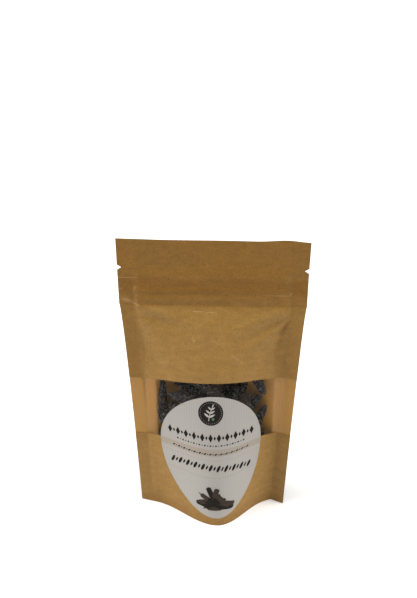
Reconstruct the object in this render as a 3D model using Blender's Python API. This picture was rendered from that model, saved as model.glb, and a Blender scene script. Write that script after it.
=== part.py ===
"""A sealed kraft stand-up pouch filled with long pepper.

The pouch is a flat bag of paper laminate whose lower part is opened by its bottom gusset. Its front has
a band of clear film, its mouth has a press-to-close zip, and a paper label is stuck on the front. Loose
spikes of long pepper fill it to just above the window.

Metres, +Z up. X runs across the pouch, -Y is its front, and the origin is on the surface that it stands
on, in the middle of its base.
"""

import math

import bmesh
import bpy
import numpy as np

MM = 0.001

# The pouch, as bought flat: 110 mm wide. Standing and filled it is 180 mm tall.
HEIGHT = 180 * MM
TOP_HALF_WIDTH = 55 * MM
BASE_HALF_WIDTH = 48 * MM
BASE_DEPTH_FRONT = 22.4 * MM
BASE_DEPTH_BACK = 20.5 * MM
SEAL_WIDTH = 8 * MM
SHEET = 0.6 * MM
GAP = 0.3 * MM

# Heights of the features above the surface that it stands on.
WINDOW_LOW = 54 * MM
WINDOW_HIGH = 94 * MM
ZIP_LOW = 142 * MM
ZIP_HIGH = 158 * MM
NOTCH_HEIGHT = 163.5 * MM
NOTCH_HALF = 1.5 * MM
NOTCH_DEPTH = 2.5 * MM
FILL_HEIGHT = 112 * MM

# How far the window's edges rise in the middle, where the front leans out.
EDGE_RISE = 4 * MM

# The room that the zip takes inside each wall, and the width over which the wall steps out to it.
ZIP_ROOM = 1.1 * MM
ZIP_RAMP = 8 * MM
ZIP_LONG_RAMP = 14 * MM
ZIP_END_RAMP = 5 * MM
ZIP_STRIP = 0.35 * MM
RIDGE_HEIGHT = 0.4 * MM
RIDGE_MIDDLE = 150.2 * MM
RIDGE_HALF = 2.2 * MM
ZIP_SECTIONS = 9

# The two side seals are bent by hand: how far each edge stands forward (-) or back (+).
LEFT_INNER_BEND = -2.2 * MM
RIGHT_INNER_BEND = 0.9 * MM
RIGHT_OUTER_BEND = -2.9 * MM
MOUTH_WAVE = 0.8 * MM
MOUTH_TURNS = 4.2
MOUTH_PHASE = 0.6

# The filling leans to one side, and the mouth hangs a little lower on the right.
BELLY_MIDDLE_X = 4.2 * MM
BELLY_POINTED = 0.95
BELLY_FULL_LOW = 0.15
BELLY_FULL_GAIN = 0.35
MOUTH_DROP = 1.1 * MM

# The gusset: its floor lies flat in the middle, and its fold rises towards both side seals.
GUSSET_FLAT_HALF = 15 * MM
GUSSET_END_HALF = 34 * MM
GUSSET_RISE = 22 * MM
GUSSET_SECTIONS = 17

# The label is egg-shaped: its widest line, half width there, and the way up and down from it. It was stuck
# on by hand, so its middle leans to the right towards its foot.
LABEL_MIDDLE_X = -1 * MM
LABEL_LEAN = 3.9 * MM
LABEL_WIDEST = 55 * MM
LABEL_HALF_WIDTH = 31.8 * MM
LABEL_UP = 32.8 * MM
LABEL_DOWN = 49.3 * MM
LABEL_THICK = 0.4 * MM
LABEL_ROWS = 18
LABEL_COLUMNS = 11
LABEL_TIP_HALF = 0.8 * MM

# A dried spike of long pepper.
SPIKE_COUNT = 52
SPIKE_RADIUS = (3.25 * MM, 3.85 * MM)
SPIKE_LENGTH = (28 * MM, 41 * MM)
SPIKE_SIDES = 10
SPIKE_RINGS = 9
BERRY_RELIEF = 0.24
STALK_SHARE = 0.12
STALK_GIRTH = 0.17
SHOULDER = 0.03
TIP_RING = 0.965
TAPER_START = 0.16
TAPER_RUN = 0.80
PACKING_STEPS = 700
START_SPREAD = 0.88
SINK = 0.09 * MM
SINK_SHARE = 0.6
PUSH = 0.35
TOP_PUSH = 0.2
TURN_PUSH = 0.8
FARTHEST_PUSH = 2 * MM
UPWARDS = np.array([0.0, 0.0, 1.0])
CLEAR = 1.2 * GAP
SEED = 14

# Where columns stand across a sheet, as shares of the half width inside the seals.
INNER_COLUMNS = (0.0, 0.14, 0.28, 0.43, 0.58, 0.73, 0.87, 0.965)

COLOURS = {
    "kraft": ((0.33, 0.19, 0.068, 1.0), 0.72, 0.0, 1.0),
    "film": ((0.86, 0.84, 0.80, 1.0), 0.12, 0.0, 0.25),
    "label": ((0.62, 0.60, 0.57, 1.0), 0.65, 0.0, 1.0),
    "zip": ((0.75, 0.72, 0.66, 1.0), 0.35, 0.0, 1.0),
    "pepper": ((0.028, 0.021, 0.017, 1.0), 0.85, 0.0, 1.0),
}


def clear_scene():
    for old in list(bpy.data.objects):
        bpy.data.objects.remove(old)


def material(name):
    """One Principled material for each finish."""
    found = bpy.data.materials.get(name)
    if found:
        return found
    colour, roughness, metallic, alpha = COLOURS[name]
    made = bpy.data.materials.new(name)
    made.use_nodes = True
    shader = made.node_tree.nodes["Principled BSDF"]
    shader.inputs["Base Color"].default_value = colour
    shader.inputs["Roughness"].default_value = roughness
    shader.inputs["Metallic"].default_value = metallic
    shader.inputs["Alpha"].default_value = alpha
    return made


def ease(t):
    """0 below 0, 1 above 1, and smooth between."""
    t = np.clip(t, 0.0, 1.0)
    return t * t * (3 - 2 * t)


def half_width(z):
    """Half the distance between the pouch's side edges at a height."""
    drop = np.clip((ZIP_LOW - z) / ZIP_LOW, 0.0, 1.0)
    return TOP_HALF_WIDTH - (TOP_HALF_WIDTH - BASE_HALF_WIDTH) * drop**0.7


def inner_half(z):
    """Half the distance between the side seals' inner edges."""
    return half_width(z) - SEAL_WIDTH


def middle(x, z):
    """How far the plane between front and back stands forward (-) or back (+)."""
    inner, outer = inner_half(z), half_width(z)
    flat = 1 - ease((z - WINDOW_HIGH) / (HEIGHT - WINDOW_HIGH))
    left = LEFT_INNER_BEND * np.clip(1 - z / ZIP_LOW, 0, 1)
    right = RIGHT_INNER_BEND * (1 - ease((z - WINDOW_HIGH) / (ZIP_LOW - WINDOW_HIGH)))
    left_seal = left * np.clip((x + outer) / SEAL_WIDTH, 0, 1)
    between = left + (right - left) * ease((x + inner) / (2 * inner))
    right_seal = right + (RIGHT_OUTER_BEND * flat - right) * np.clip((x - inner) / SEAL_WIDTH, 0, 1)
    bent = np.where(x < -inner, left_seal, np.where(x > inner, right_seal, between))
    wave = MOUTH_WAVE * ease((z - ZIP_HIGH) / (HEIGHT - ZIP_HIGH)) * np.sin(
        x / TOP_HALF_WIDTH * MOUTH_TURNS + MOUTH_PHASE
    )
    return bent + wave


def belly(x, z):
    """The bulge that the filling gives a wall, from 0 at the seals to 1 in the middle of the base. It is a
    soft wave across the base and a fuller arch at the window."""
    up = np.clip(z / ZIP_LOW, 0.0, 1.0)
    deepest = BELLY_MIDDLE_X * (1 - up)
    room = inner_half(z) - np.sign(x - deepest) * deepest
    across = np.clip(np.abs(x - deepest) / room, 0.0, 1.0)
    full = BELLY_FULL_LOW + BELLY_FULL_GAIN * np.clip(z / WINDOW_HIGH, 0.0, 1.0)
    lens = (1 - full) * 0.5 * (1 + np.cos(np.pi * across**BELLY_POINTED)) + full * (1 - across**2)
    return lens * np.cos(0.5 * np.pi * up)


def zip_swell(x, z):
    """The step that each wall takes round the zip."""
    across = ease((inner_half(z) - np.abs(x)) / ZIP_END_RAMP)
    below = ease((z - ZIP_LOW + ZIP_LONG_RAMP) / ZIP_LONG_RAMP)
    above = ease((ZIP_HIGH + ZIP_RAMP - z) / ZIP_RAMP)
    return ZIP_ROOM * across * below * above


def ridge(x, z):
    """The line that the zip's profile presses into the wall."""
    across = ease((inner_half(z) - np.abs(x)) / ZIP_END_RAMP)
    return RIDGE_HEIGHT * across * np.clip(1 - np.abs(z - RIDGE_MIDDLE) / RIDGE_HALF, 0, 1)


def front_inner(x, z):
    """The front wall's inside."""
    return middle(x, z) - GAP / 2 - BASE_DEPTH_FRONT * belly(x, z) - zip_swell(x, z)


def back_inner(x, z):
    """The back wall's inside."""
    return middle(x, z) + GAP / 2 + BASE_DEPTH_BACK * belly(x, z) + zip_swell(x, z)


def front_outer(x, z):
    return front_inner(x, z) - SHEET - ridge(x, z)


def back_outer(x, z):
    return back_inner(x, z) + SHEET + ridge(x, z)


def edge_height(height, x):
    """A cut edge of the front that runs across the pouch, raised where the wall leans out."""
    return height + EDGE_RISE * belly(x, height)


def hang(x, z):
    """The height at which a point really stands, with the mouth's drop to the right."""
    return z - MOUTH_DROP * x / TOP_HALF_WIDTH * ease((z - WINDOW_HIGH) / (HEIGHT - WINDOW_HIGH))


def columns(z):
    """Places across a sheet at one height, cut back at the tear notches."""
    inner = inner_half(z)
    positive = [share * inner for share in INNER_COLUMNS[1:]] + [inner]
    notch = NOTCH_DEPTH * max(0.0, 1 - abs(z - NOTCH_HEIGHT) / NOTCH_HALF)
    positive.append(half_width(z) - notch)
    return [-x for x in reversed(positive)] + [0.0] + positive


def add_object(name, vertices, faces, finish, smooth_angle=40):
    """A named object of one closed body, with its faces turned outwards."""
    mesh = bpy.data.meshes.new(name)
    mesh.from_pydata([tuple(v) for v in vertices], [], faces)
    work = bmesh.new()
    work.from_mesh(mesh)
    bmesh.ops.recalc_face_normals(work, faces=work.faces)
    work.to_mesh(mesh)
    work.free()
    mesh.materials.append(material(finish))
    mesh.shade_smooth()
    mesh.set_sharp_from_angle(angle=math.radians(smooth_angle))
    made = bpy.data.objects.new(name, mesh)
    bpy.context.scene.collection.objects.link(made)
    return made


def slab(name, near, far, finish):
    """Closes two equal grids of points, one for each face of a sheet, into one solid."""
    rows, cols = len(near), len(near[0])
    vertices = [p for row in near for p in row] + [p for row in far for p in row]
    offset = rows * cols
    faces = []
    for r in range(rows - 1):
        for c in range(cols - 1):
            a, b = r * cols + c, r * cols + c + 1
            d, e = a + cols, b + cols
            faces.append((a, b, e, d))
            faces.append((a + offset, d + offset, e + offset, b + offset))
    rim = list(range(cols))
    rim += [r * cols + cols - 1 for r in range(1, rows)]
    rim += [(rows - 1) * cols + c for c in range(cols - 2, -1, -1)]
    rim += [r * cols for r in range(rows - 2, 0, -1)]
    for i, a in enumerate(rim):
        b = rim[(i + 1) % len(rim)]
        faces.append((b, a, a + offset, b + offset))
    return add_object(name, vertices, faces, finish)


def wall(name, heights, inside, outside, finish, low=None, high=None):
    """One sheet of the pouch. low and high are cut edges that follow edge_height."""
    near, far = [], []
    for z in heights:
        inner_row, outer_row = [], []
        for x in columns(z):
            level = float(edge_height(z, x)) if z in (low, high) else z
            inner_row.append((x, float(inside(x, level)), float(hang(x, level))))
            outer_row.append((x, float(outside(x, level)), float(hang(x, level))))
        near.append(inner_row)
        far.append(outer_row)
    return slab(name, near, far, finish)


def zip_heights():
    """Rows from the zip's lower step to the mouth, through its ridge and the tear notches."""
    ridge_rows = [RIDGE_MIDDLE - RIDGE_HALF, RIDGE_MIDDLE, RIDGE_MIDDLE + RIDGE_HALF]
    notch_rows = [NOTCH_HEIGHT - NOTCH_HALF, NOTCH_HEIGHT, NOTCH_HEIGHT + NOTCH_HALF]
    step_rows = [ZIP_LOW - ZIP_LONG_RAMP / 2, ZIP_LOW, ZIP_HIGH, ZIP_HIGH + ZIP_RAMP]
    return sorted(ridge_rows + notch_rows + step_rows + [(NOTCH_HEIGHT + HEIGHT) / 2, HEIGHT])


def spread(low, high, count):
    """Evenly spaced heights, both ends included."""
    return [low + (high - low) * i / (count - 1) for i in range(count)]


def make_walls():
    """The front's three sheets and the whole back."""
    lower = spread(0, WINDOW_LOW - GAP, 6)
    wall("front_lower", lower, front_inner, front_outer, "kraft", high=lower[-1])
    band = spread(WINDOW_LOW, WINDOW_HIGH - GAP, 5)
    wall("window_film", band, front_inner, front_outer, "film", low=band[0], high=band[-1])
    upper = spread(WINDOW_HIGH, ZIP_LOW - ZIP_LONG_RAMP, 5) + zip_heights()
    wall("front_upper", upper, front_inner, front_outer, "kraft", low=upper[0])
    back = spread(0, ZIP_LOW - ZIP_LONG_RAMP, 12) + zip_heights()
    wall("back_panel", back, back_inner, back_outer, "kraft")


def gusset_shape(x):
    """The gusset at one place along its fold: how high the fold stands, where the sheet meets the front
    and the back wall, and how high the sheet's upper side is at the fold."""
    x = np.clip(x, -GUSSET_END_HALF, GUSSET_END_HALF)
    fold = GUSSET_RISE * ease((np.abs(x) - GUSSET_FLAT_HALF) / (GUSSET_END_HALF - GUSSET_FLAT_HALF))
    front = front_inner(x, fold / 2) + 2 * GAP
    back = back_inner(x, fold / 2) - 2 * GAP
    reach = (back - front) / 2
    return fold, front, back, fold + SHEET * np.hypot(fold, reach) / reach


def gusset_section(x):
    """The gusset's under and upper lines at one place along its fold, front to back."""
    fold, front, back, crest = (float(v) for v in gusset_shape(x))
    centre = (front + back) / 2
    slope = math.atan2(fold, (back - front) / 2)
    side, rise = SHEET * math.sin(slope), SHEET * math.cos(slope)
    under = [(x, front + side, 0.0), (x, centre, fold), (x, back - side, 0.0)]
    upper = [(x, front, rise), (x, centre, crest), (x, back, rise)]
    return under, upper


def make_gusset():
    """The bottom sheet, open in the middle and folded up between the walls at both ends."""
    places = spread(-GUSSET_END_HALF, GUSSET_END_HALF, GUSSET_SECTIONS)
    sections = [gusset_section(x) for x in places]
    slab("gusset", [s[0] for s in sections], [s[1] for s in sections], "kraft")


def zip_strip(name, wall_side, ribs):
    """One half of the zip: a strip on the wall's inside with ribs that point at the other half."""
    base = ZIP_ROOM - GAP / 2
    face = base - ZIP_STRIP
    outline = [(base, ZIP_LOW + 2 * GAP), (face, ZIP_LOW + 2 * GAP)]
    for low, high, reach in ribs:
        outline += [(face, low), (reach, low), (reach, high), (face, high)]
    outline += [(face, ZIP_HIGH - 2 * GAP), (base, ZIP_HIGH - 2 * GAP)]
    half = inner_half(HEIGHT) - ZIP_END_RAMP - 0.5 * MM
    near, count = [], ZIP_SECTIONS
    for x in spread(-half, half, count):
        near.append([(x, float(middle(x, z)) + wall_side * y, float(hang(x, z))) for y, z in outline])
    sides = len(outline)
    vertices = [p for ring in near for p in ring]
    faces = [tuple(range(sides)), tuple((count - 1) * sides + i for i in reversed(range(sides)))]
    for r in range(count - 1):
        for i in range(sides):
            j = (i + 1) % sides
            faces.append((r * sides + i, r * sides + j, (r + 1) * sides + j, (r + 1) * sides + i))
    made = add_object(name, vertices, faces, "zip")
    triangulate = made.modifiers.new("Triangulate", "TRIANGULATE")
    triangulate.ngon_method = "BEAUTY"


def make_zip():
    """The rib on the front half sits between the two lips on the back half."""
    rib = 0.5 * MM
    lip = 0.9 * MM
    clear = rib + GAP + 0.1 * MM
    zip_strip("zip_rib", -1, [(RIDGE_MIDDLE - rib, RIDGE_MIDDLE + rib, -0.2 * MM)])
    lips = [
        (RIDGE_MIDDLE - clear - lip, RIDGE_MIDDLE - clear, -0.1 * MM),
        (RIDGE_MIDDLE + clear, RIDGE_MIDDLE + clear + lip, -0.1 * MM),
    ]
    zip_strip("zip_groove", 1, lips)


def label_half_width(z):
    """Half the label's width at a height: round above its widest line, drawn out below it."""
    if z >= LABEL_WIDEST:
        share = min(1.0, (z - LABEL_WIDEST) / LABEL_UP)
        return LABEL_HALF_WIDTH * math.sqrt(1 - share**2)
    share = min(1.0, (LABEL_WIDEST - z) / LABEL_DOWN)
    return LABEL_HALF_WIDTH * math.sqrt(max(0.0, 1 - share**1.95))


def make_label():
    """The sticker: rows of points that end on its egg-shaped outline, a gap clear of the wall."""
    heights = []
    for i in range(LABEL_ROWS + 1):
        angle = math.pi * i / LABEL_ROWS
        reach = LABEL_UP if angle <= math.pi / 2 else LABEL_DOWN
        heights.append(LABEL_WIDEST + reach * math.cos(angle))
    heights[0] -= 0.2 * MM
    heights[-1] += 0.2 * MM
    near, far = [], []
    for z in reversed(heights):
        half = max(label_half_width(z), LABEL_TIP_HALF)
        row_near, row_far = [], []
        centre = LABEL_MIDDLE_X + LABEL_LEAN * ((z - LABEL_WIDEST) / LABEL_DOWN) ** 2
        for share in spread(-1, 1, LABEL_COLUMNS):
            x = centre + half * share
            y = float(front_outer(x, z)) - GAP
            row_near.append((x, y, z))
            row_far.append((x, y - LABEL_THICK, z))
        near.append(row_near)
        far.append(row_far)
    slab("label", near, far, "label")


def wall_room(points, inside, side):
    """How far points are from a wall's inside, along its normal, and which way that is."""
    step = 0.2 * MM
    x, y, z = points.T
    here = inside(x, z)
    slope_x = (inside(x + step, z) - here) / step
    slope_z = (inside(x, z + step) - here) / step
    normal = np.stack([-slope_x, np.ones_like(x), -slope_z], 1) * -side
    length = np.linalg.norm(normal, axis=1)
    return (y - here) * -side / length, normal / length[:, None]


def floor_room(points):
    """How far points are above the gusset's fold, square to it."""
    step = 0.2 * MM
    x, _, z = points.T
    crest = gusset_shape(x)[3]
    slope = (gusset_shape(x + step)[3] - crest) / step
    return (z - crest) / np.sqrt(1 + slope**2)


def closest_on_pairs(p, a, i, j):
    """Closest points of pairs of segments p +- a, as shares -1 to 1 along each."""
    di, dj, w = a[i], a[j], p[i] - p[j]
    ii = np.einsum("nk,nk->n", di, di)
    jj = np.einsum("nk,nk->n", dj, dj)
    ij = np.einsum("nk,nk->n", di, dj)
    iw = np.einsum("nk,nk->n", di, w)
    jw = np.einsum("nk,nk->n", dj, w)
    below = np.maximum(ii * jj - ij * ij, 1e-18)
    s = np.clip((ij * jw - jj * iw) / below, -1, 1)
    t = np.clip((ij * s + jw) / jj, -1, 1)
    s = np.clip((ij * t - iw) / ii, -1, 1)
    return s, t


def pack_spikes():
    """Lays the spikes in the pouch. Each is a capsule that sinks a little at every step and is then
    pushed clear of the walls, the gusset and its neighbours. Returns middles, half axes and radii."""
    draw = np.random.default_rng(SEED)
    radius = draw.uniform(*SPIKE_RADIUS, SPIKE_COUNT)
    half = draw.uniform(*SPIKE_LENGTH, SPIKE_COUNT) / 2 - radius
    p = np.stack(
        [
            draw.uniform(-START_SPREAD, START_SPREAD, SPIKE_COUNT) * inner_half(0),
            draw.uniform(-0.2, 0.2, SPIKE_COUNT) * BASE_DEPTH_FRONT,
            np.linspace(0.10, 1.15, SPIKE_COUNT) * FILL_HEIGHT,
        ],
        1,
    )
    d = draw.normal(size=(SPIKE_COUNT, 3)) * np.array([1.0, 0.25, 1.2])
    d /= np.linalg.norm(d, axis=1)[:, None]
    i, j = np.triu_indices(SPIKE_COUNT, 1)
    shares = np.linspace(-1, 1, 7)
    for step in range(PACKING_STEPS):
        if step < SINK_SHARE * PACKING_STEPS:
            p[:, 2] -= SINK
        a = d * half[:, None]
        shift, turn = np.zeros_like(p), np.zeros_like(p)
        s, t = closest_on_pairs(p, a, i, j)
        apart = p[i] + s[:, None] * a[i] - p[j] - t[:, None] * a[j]
        distance = np.maximum(np.linalg.norm(apart, axis=1), 1e-9)
        push = np.maximum(radius[i] + radius[j] + CLEAR - distance, 0)
        move = apart / distance[:, None] * (0.5 * push)[:, None]
        np.add.at(shift, i, move)
        np.add.at(shift, j, -move)
        np.add.at(turn, i, np.cross(s[:, None] * a[i], move))
        np.add.at(turn, j, np.cross(t[:, None] * a[j], -move))
        for share in shares:
            q = p + share * a
            for inside, side in ((front_inner, -1), (back_inner, 1)):
                room, normal = wall_room(q, inside, side)
                lack = PUSH * np.maximum(radius + CLEAR - room, 0)[:, None] * normal
                shift += lack
                turn += np.cross(share * a, lack)
            rise = np.maximum(radius + CLEAR - floor_room(q), 0)
            sink = TOP_PUSH * np.maximum(q[:, 2] + radius - FILL_HEIGHT, 0)
            lack = PUSH * (rise - sink)[:, None] * UPWARDS
            shift += lack
            turn += np.cross(share * a, lack)
        p += np.clip(shift, -FARTHEST_PUSH, FARTHEST_PUSH)
        d += np.cross(TURN_PUSH * turn / half[:, None] ** 2, d)
        d /= np.linalg.norm(d, axis=1)[:, None]
    a = d * half[:, None]
    s, t = closest_on_pairs(p, a, i, j)
    apart = np.linalg.norm(p[i] + s[:, None] * a[i] - p[j] - t[:, None] * a[j], axis=1)
    fit = np.ones(SPIKE_COUNT)
    share_free = (apart - GAP) / (radius[i] + radius[j])
    np.minimum.at(fit, i, share_free)
    np.minimum.at(fit, j, share_free)
    for share in shares:
        q = p + share * a
        for inside, side in ((front_inner, -1), (back_inner, 1)):
            fit = np.minimum(fit, (wall_room(q, inside, side)[0] - GAP) / radius)
        fit = np.minimum(fit, (floor_room(q) - GAP) / radius)
    return p, a, radius, fit


def spike(name, centre, half_axis, radius, draw):
    """One pepper: a blunt tapering spike whose joined berries stand out as knobs, on a short stalk."""
    along = half_axis / np.linalg.norm(half_axis)
    side = np.cross(along, (0.0, 1.0, 0.0))
    side /= np.linalg.norm(side)
    other = np.cross(along, side)
    length = 2 * (np.linalg.norm(half_axis) + radius)
    start = centre - along * length / 2
    twist = draw.uniform(0, 2 * math.pi)
    rings = [(0.0, STALK_GIRTH), (STALK_SHARE, STALK_GIRTH * 1.2)]
    low, high = STALK_SHARE + SHOULDER, TIP_RING
    for k in range(SPIKE_RINGS):
        t = k / (SPIKE_RINGS - 1)
        girth = math.sin(math.pi * (TAPER_START + TAPER_RUN * t) ** 0.8) ** 0.36
        rings.append((low + (high - low) * t, girth))
    vertices, faces = [tuple(start)], []
    for k, (t, share) in enumerate(rings):
        for n in range(SPIKE_SIDES):
            angle = twist + 2 * math.pi * (n + 0.5 * (k % 2)) / SPIKE_SIDES
            knob = 1.0
            if k > 1:
                knob -= BERRY_RELIEF * ((n + k) % 2)
            reach = radius * share * knob
            spoke = side * math.cos(angle) + other * math.sin(angle)
            vertices.append(tuple(start + along * t * length + spoke * reach))
    vertices.append(tuple(start + along * length))
    last = len(rings)
    for n in range(SPIKE_SIDES):
        m = (n + 1) % SPIKE_SIDES
        faces.append((0, 1 + m, 1 + n))
        faces.append((1 + (last - 1) * SPIKE_SIDES + n, 1 + (last - 1) * SPIKE_SIDES + m, len(vertices) - 1))
        for k in range(last - 1):
            low, high = 1 + k * SPIKE_SIDES, 1 + (k + 1) * SPIKE_SIDES
            if k % 2 == 0:
                faces += [(low + n, low + m, high + n), (low + m, high + m, high + n)]
            else:
                faces += [(low + n, high + m, high + n), (low + n, low + m, high + m)]
    add_object(name, vertices, faces, "pepper", smooth_angle=180)


def make_spikes():
    """Every pepper in the pouch, each shrunk if it must be to stay clear of what it lies against."""
    middles, half_axes, radii, fit = pack_spikes()
    draw = np.random.default_rng(SEED + 1)
    order = np.argsort(middles[:, 2])
    for number, k in enumerate(order, start=1):
        share = float(min(1.0, fit[k]))
        print(f"pepper_{number:02d}: share of its full girth {share:.2f}")
        spike(f"pepper_{number:02d}", middles[k], half_axes[k], radii[k] * share, draw)


def main():
    clear_scene()
    make_walls()
    make_gusset()
    make_zip()
    make_label()
    make_spikes()


main()
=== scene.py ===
# %% [markdown]
# # A kraft pouch of long pepper
# A stand-up pouch is a flat bag of paper and plastic laminate. Its two walls are heat-sealed together along
# the sides, and a folded sheet between them, the gusset, opens at the bottom so that the full pouch stands.
# This one has a band of clear film across its front, a press-to-close zip, and a sticker. Inside are dried
# spikes of long pepper. The plain solids of all that are loaded first, as a frame. Every piece below is made
# in place in that frame. All but the print on the sticker stand for one of its solids.

# %% Load the frame
import math

import bmesh
import bpy
import numpy as np
from mathutils import Matrix, Vector


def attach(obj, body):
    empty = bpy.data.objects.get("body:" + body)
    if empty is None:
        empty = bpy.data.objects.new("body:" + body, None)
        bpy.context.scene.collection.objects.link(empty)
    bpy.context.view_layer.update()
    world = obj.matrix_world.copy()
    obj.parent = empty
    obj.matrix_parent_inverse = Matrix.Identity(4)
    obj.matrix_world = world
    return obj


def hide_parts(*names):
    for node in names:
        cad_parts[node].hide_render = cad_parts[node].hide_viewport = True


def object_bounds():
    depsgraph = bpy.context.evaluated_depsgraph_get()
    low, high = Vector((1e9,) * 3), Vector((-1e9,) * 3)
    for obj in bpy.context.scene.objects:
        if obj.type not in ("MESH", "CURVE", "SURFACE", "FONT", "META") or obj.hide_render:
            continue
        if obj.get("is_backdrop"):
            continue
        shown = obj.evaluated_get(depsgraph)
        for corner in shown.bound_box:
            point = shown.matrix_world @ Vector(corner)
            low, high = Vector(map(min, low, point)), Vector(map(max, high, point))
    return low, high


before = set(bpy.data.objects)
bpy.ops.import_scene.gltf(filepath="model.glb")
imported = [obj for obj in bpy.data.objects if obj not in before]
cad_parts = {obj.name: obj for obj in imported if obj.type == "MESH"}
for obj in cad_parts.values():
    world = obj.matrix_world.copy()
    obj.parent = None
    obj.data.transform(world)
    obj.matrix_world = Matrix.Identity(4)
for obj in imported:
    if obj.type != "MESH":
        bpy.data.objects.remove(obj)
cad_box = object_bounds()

MM = 0.001
print("solids in the frame:", len(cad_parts))

# %% [markdown]
# ## The camera
# The picture was taken from close by and above: about 26 cm in front of the pouch, looking down at it. A
# camera so near makes the top of the pouch look wider than its base. Its place and angle were worked out from
# the corners of the pouch. The long side of the picture is 598 pixels, and the lens is given in pixels too.

# %% Camera
PICTURE_LONG_SIDE = 598
LENS_PIXELS = 470
CAMERA_PLACE = (2.05 * MM, -259.65 * MM, 235.8 * MM)
CAMERA_PITCH = 19.2
CAMERA_YAW = 1.0

camera_data = bpy.data.cameras.new("camera")
camera_data.sensor_width = 36
camera_data.lens = LENS_PIXELS * camera_data.sensor_width / PICTURE_LONG_SIDE
camera_data.clip_start = 0.01
camera = bpy.data.objects.new("camera", camera_data)
bpy.context.scene.collection.objects.link(camera)
turn_left = Matrix.Rotation(math.radians(CAMERA_YAW), 4, "Z")
look_down = Matrix.Rotation(math.radians(90 - CAMERA_PITCH), 4, "X")
camera.matrix_world = Matrix.Translation(CAMERA_PLACE) @ turn_left @ look_down
bpy.context.scene.camera = camera
print("lens", round(camera_data.lens, 1), "mm")

# %% [markdown]
# ## The form of the pouch
# A filled pouch has a simple rule. Between the seals each wall bulges like a lens: most at the base, and less
# towards the zip, where front and back meet. The bulge pulls the sides in, so the pouch is narrower below
# than at its mouth. The form could be sculpted, or blown up as cloth, but then each layer would have to be
# fitted by hand. Here functions of a place across the pouch and a height give the middle plane and the bulge.
# Everything that touches the pouch, such as its film and its sticker, is then laid on the same surface.

# %% Sizes of the pouch
HEIGHT = 180 * MM
TOP_HALF_WIDTH = 55 * MM
BASE_HALF_WIDTH = 48 * MM
FRONT_DEPTH = 22.4 * MM
BACK_DEPTH = 20.5 * MM
SEAL_WIDTH = 8 * MM
WINDOW_LOW = 54 * MM
WINDOW_HIGH = 94 * MM
EDGE_RISE = 4 * MM
ZIP_LOW = 142 * MM
ZIP_HIGH = 158 * MM
ZIP_ROOM = 1.1 * MM
ZIP_RAMP = 8 * MM
ZIP_LONG_RAMP = 14 * MM
ZIP_END_RAMP = 5 * MM
NOTCH_HEIGHT = 163.5 * MM
NOTCH_HALF = 1.5 * MM
NOTCH_DEPTH = 2.5 * MM
LEFT_INNER_BEND = -2.2 * MM
RIGHT_INNER_BEND = 0.9 * MM
RIGHT_OUTER_BEND = -2.9 * MM
MOUTH_WAVE = 0.8 * MM
MOUTH_TURNS = 4.2
MOUTH_PHASE = 0.6
MOUTH_DROP = 1.1 * MM
MOUTH_HUMP, HUMP_X, HUMP_WIDTH = 1.1 * MM, 42 * MM, 10 * MM
BELLY_MIDDLE_X = 4.2 * MM
BELLY_POINTED = 0.95
BELLY_FULL_LOW = 0.15
BELLY_FULL_GAIN = 0.35
print("the window reaches from", round(WINDOW_LOW / MM), "to", round(WINDOW_HIGH / MM), "mm up")


# %% How wide the pouch is, and its middle plane
def ease(t):
    """0 below 0, 1 above 1, and smooth between."""
    t = np.clip(t, 0.0, 1.0)
    return t * t * (3 - 2 * t)


def half_width(z):
    drop = np.clip((ZIP_LOW - z) / ZIP_LOW, 0.0, 1.0)
    return TOP_HALF_WIDTH - (TOP_HALF_WIDTH - BASE_HALF_WIDTH) * drop**0.7


def inner_half(z):
    return half_width(z) - SEAL_WIDTH


def middle(x, z):
    """How far the plane between front and back stands forward (-) or back (+)."""
    inner, outer = inner_half(z), half_width(z)
    flat = 1 - ease((z - WINDOW_HIGH) / (HEIGHT - WINDOW_HIGH))
    left = LEFT_INNER_BEND * np.clip(1 - z / ZIP_LOW, 0, 1)
    right = RIGHT_INNER_BEND * (1 - ease((z - WINDOW_HIGH) / (ZIP_LOW - WINDOW_HIGH)))
    left_seal = left * np.clip((x + outer) / SEAL_WIDTH, 0, 1)
    between = left + (right - left) * ease((x + inner) / (2 * inner))
    right_seal = right + (RIGHT_OUTER_BEND * flat - right) * np.clip((x - inner) / SEAL_WIDTH, 0, 1)
    bent = np.where(x < -inner, left_seal, np.where(x > inner, right_seal, between))
    wave = MOUTH_WAVE * ease((z - ZIP_HIGH) / (HEIGHT - ZIP_HIGH)) * np.sin(
        x / TOP_HALF_WIDTH * MOUTH_TURNS + MOUTH_PHASE
    )
    return bent + wave


print("the foot is", round(2 * float(half_width(0.0)) / MM), "mm wide")


# %% How far a wall bulges, and how high its points stand
def belly(x, z):
    """The bulge of a wall, from 0 at the seals to 1 in the middle of the base."""
    up = np.clip(z / ZIP_LOW, 0.0, 1.0)
    deepest = BELLY_MIDDLE_X * (1 - up)
    room = inner_half(z) - np.sign(x - deepest) * deepest
    across = np.clip(np.abs(x - deepest) / room, 0.0, 1.0)
    full = BELLY_FULL_LOW + BELLY_FULL_GAIN * np.clip(z / WINDOW_HIGH, 0.0, 1.0)
    lens = (1 - full) * 0.5 * (1 + np.cos(np.pi * across**BELLY_POINTED)) + full * (1 - across**2)
    return lens * np.cos(0.5 * np.pi * up)


def zip_swell(x, z):
    """The step that each wall takes round the zip."""
    across = ease((inner_half(z) - np.abs(x)) / ZIP_END_RAMP)
    below = ease((z - ZIP_LOW + ZIP_LONG_RAMP) / ZIP_LONG_RAMP)
    above = ease((ZIP_HIGH + ZIP_RAMP - z) / ZIP_RAMP)
    return ZIP_ROOM * across * below * above


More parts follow.
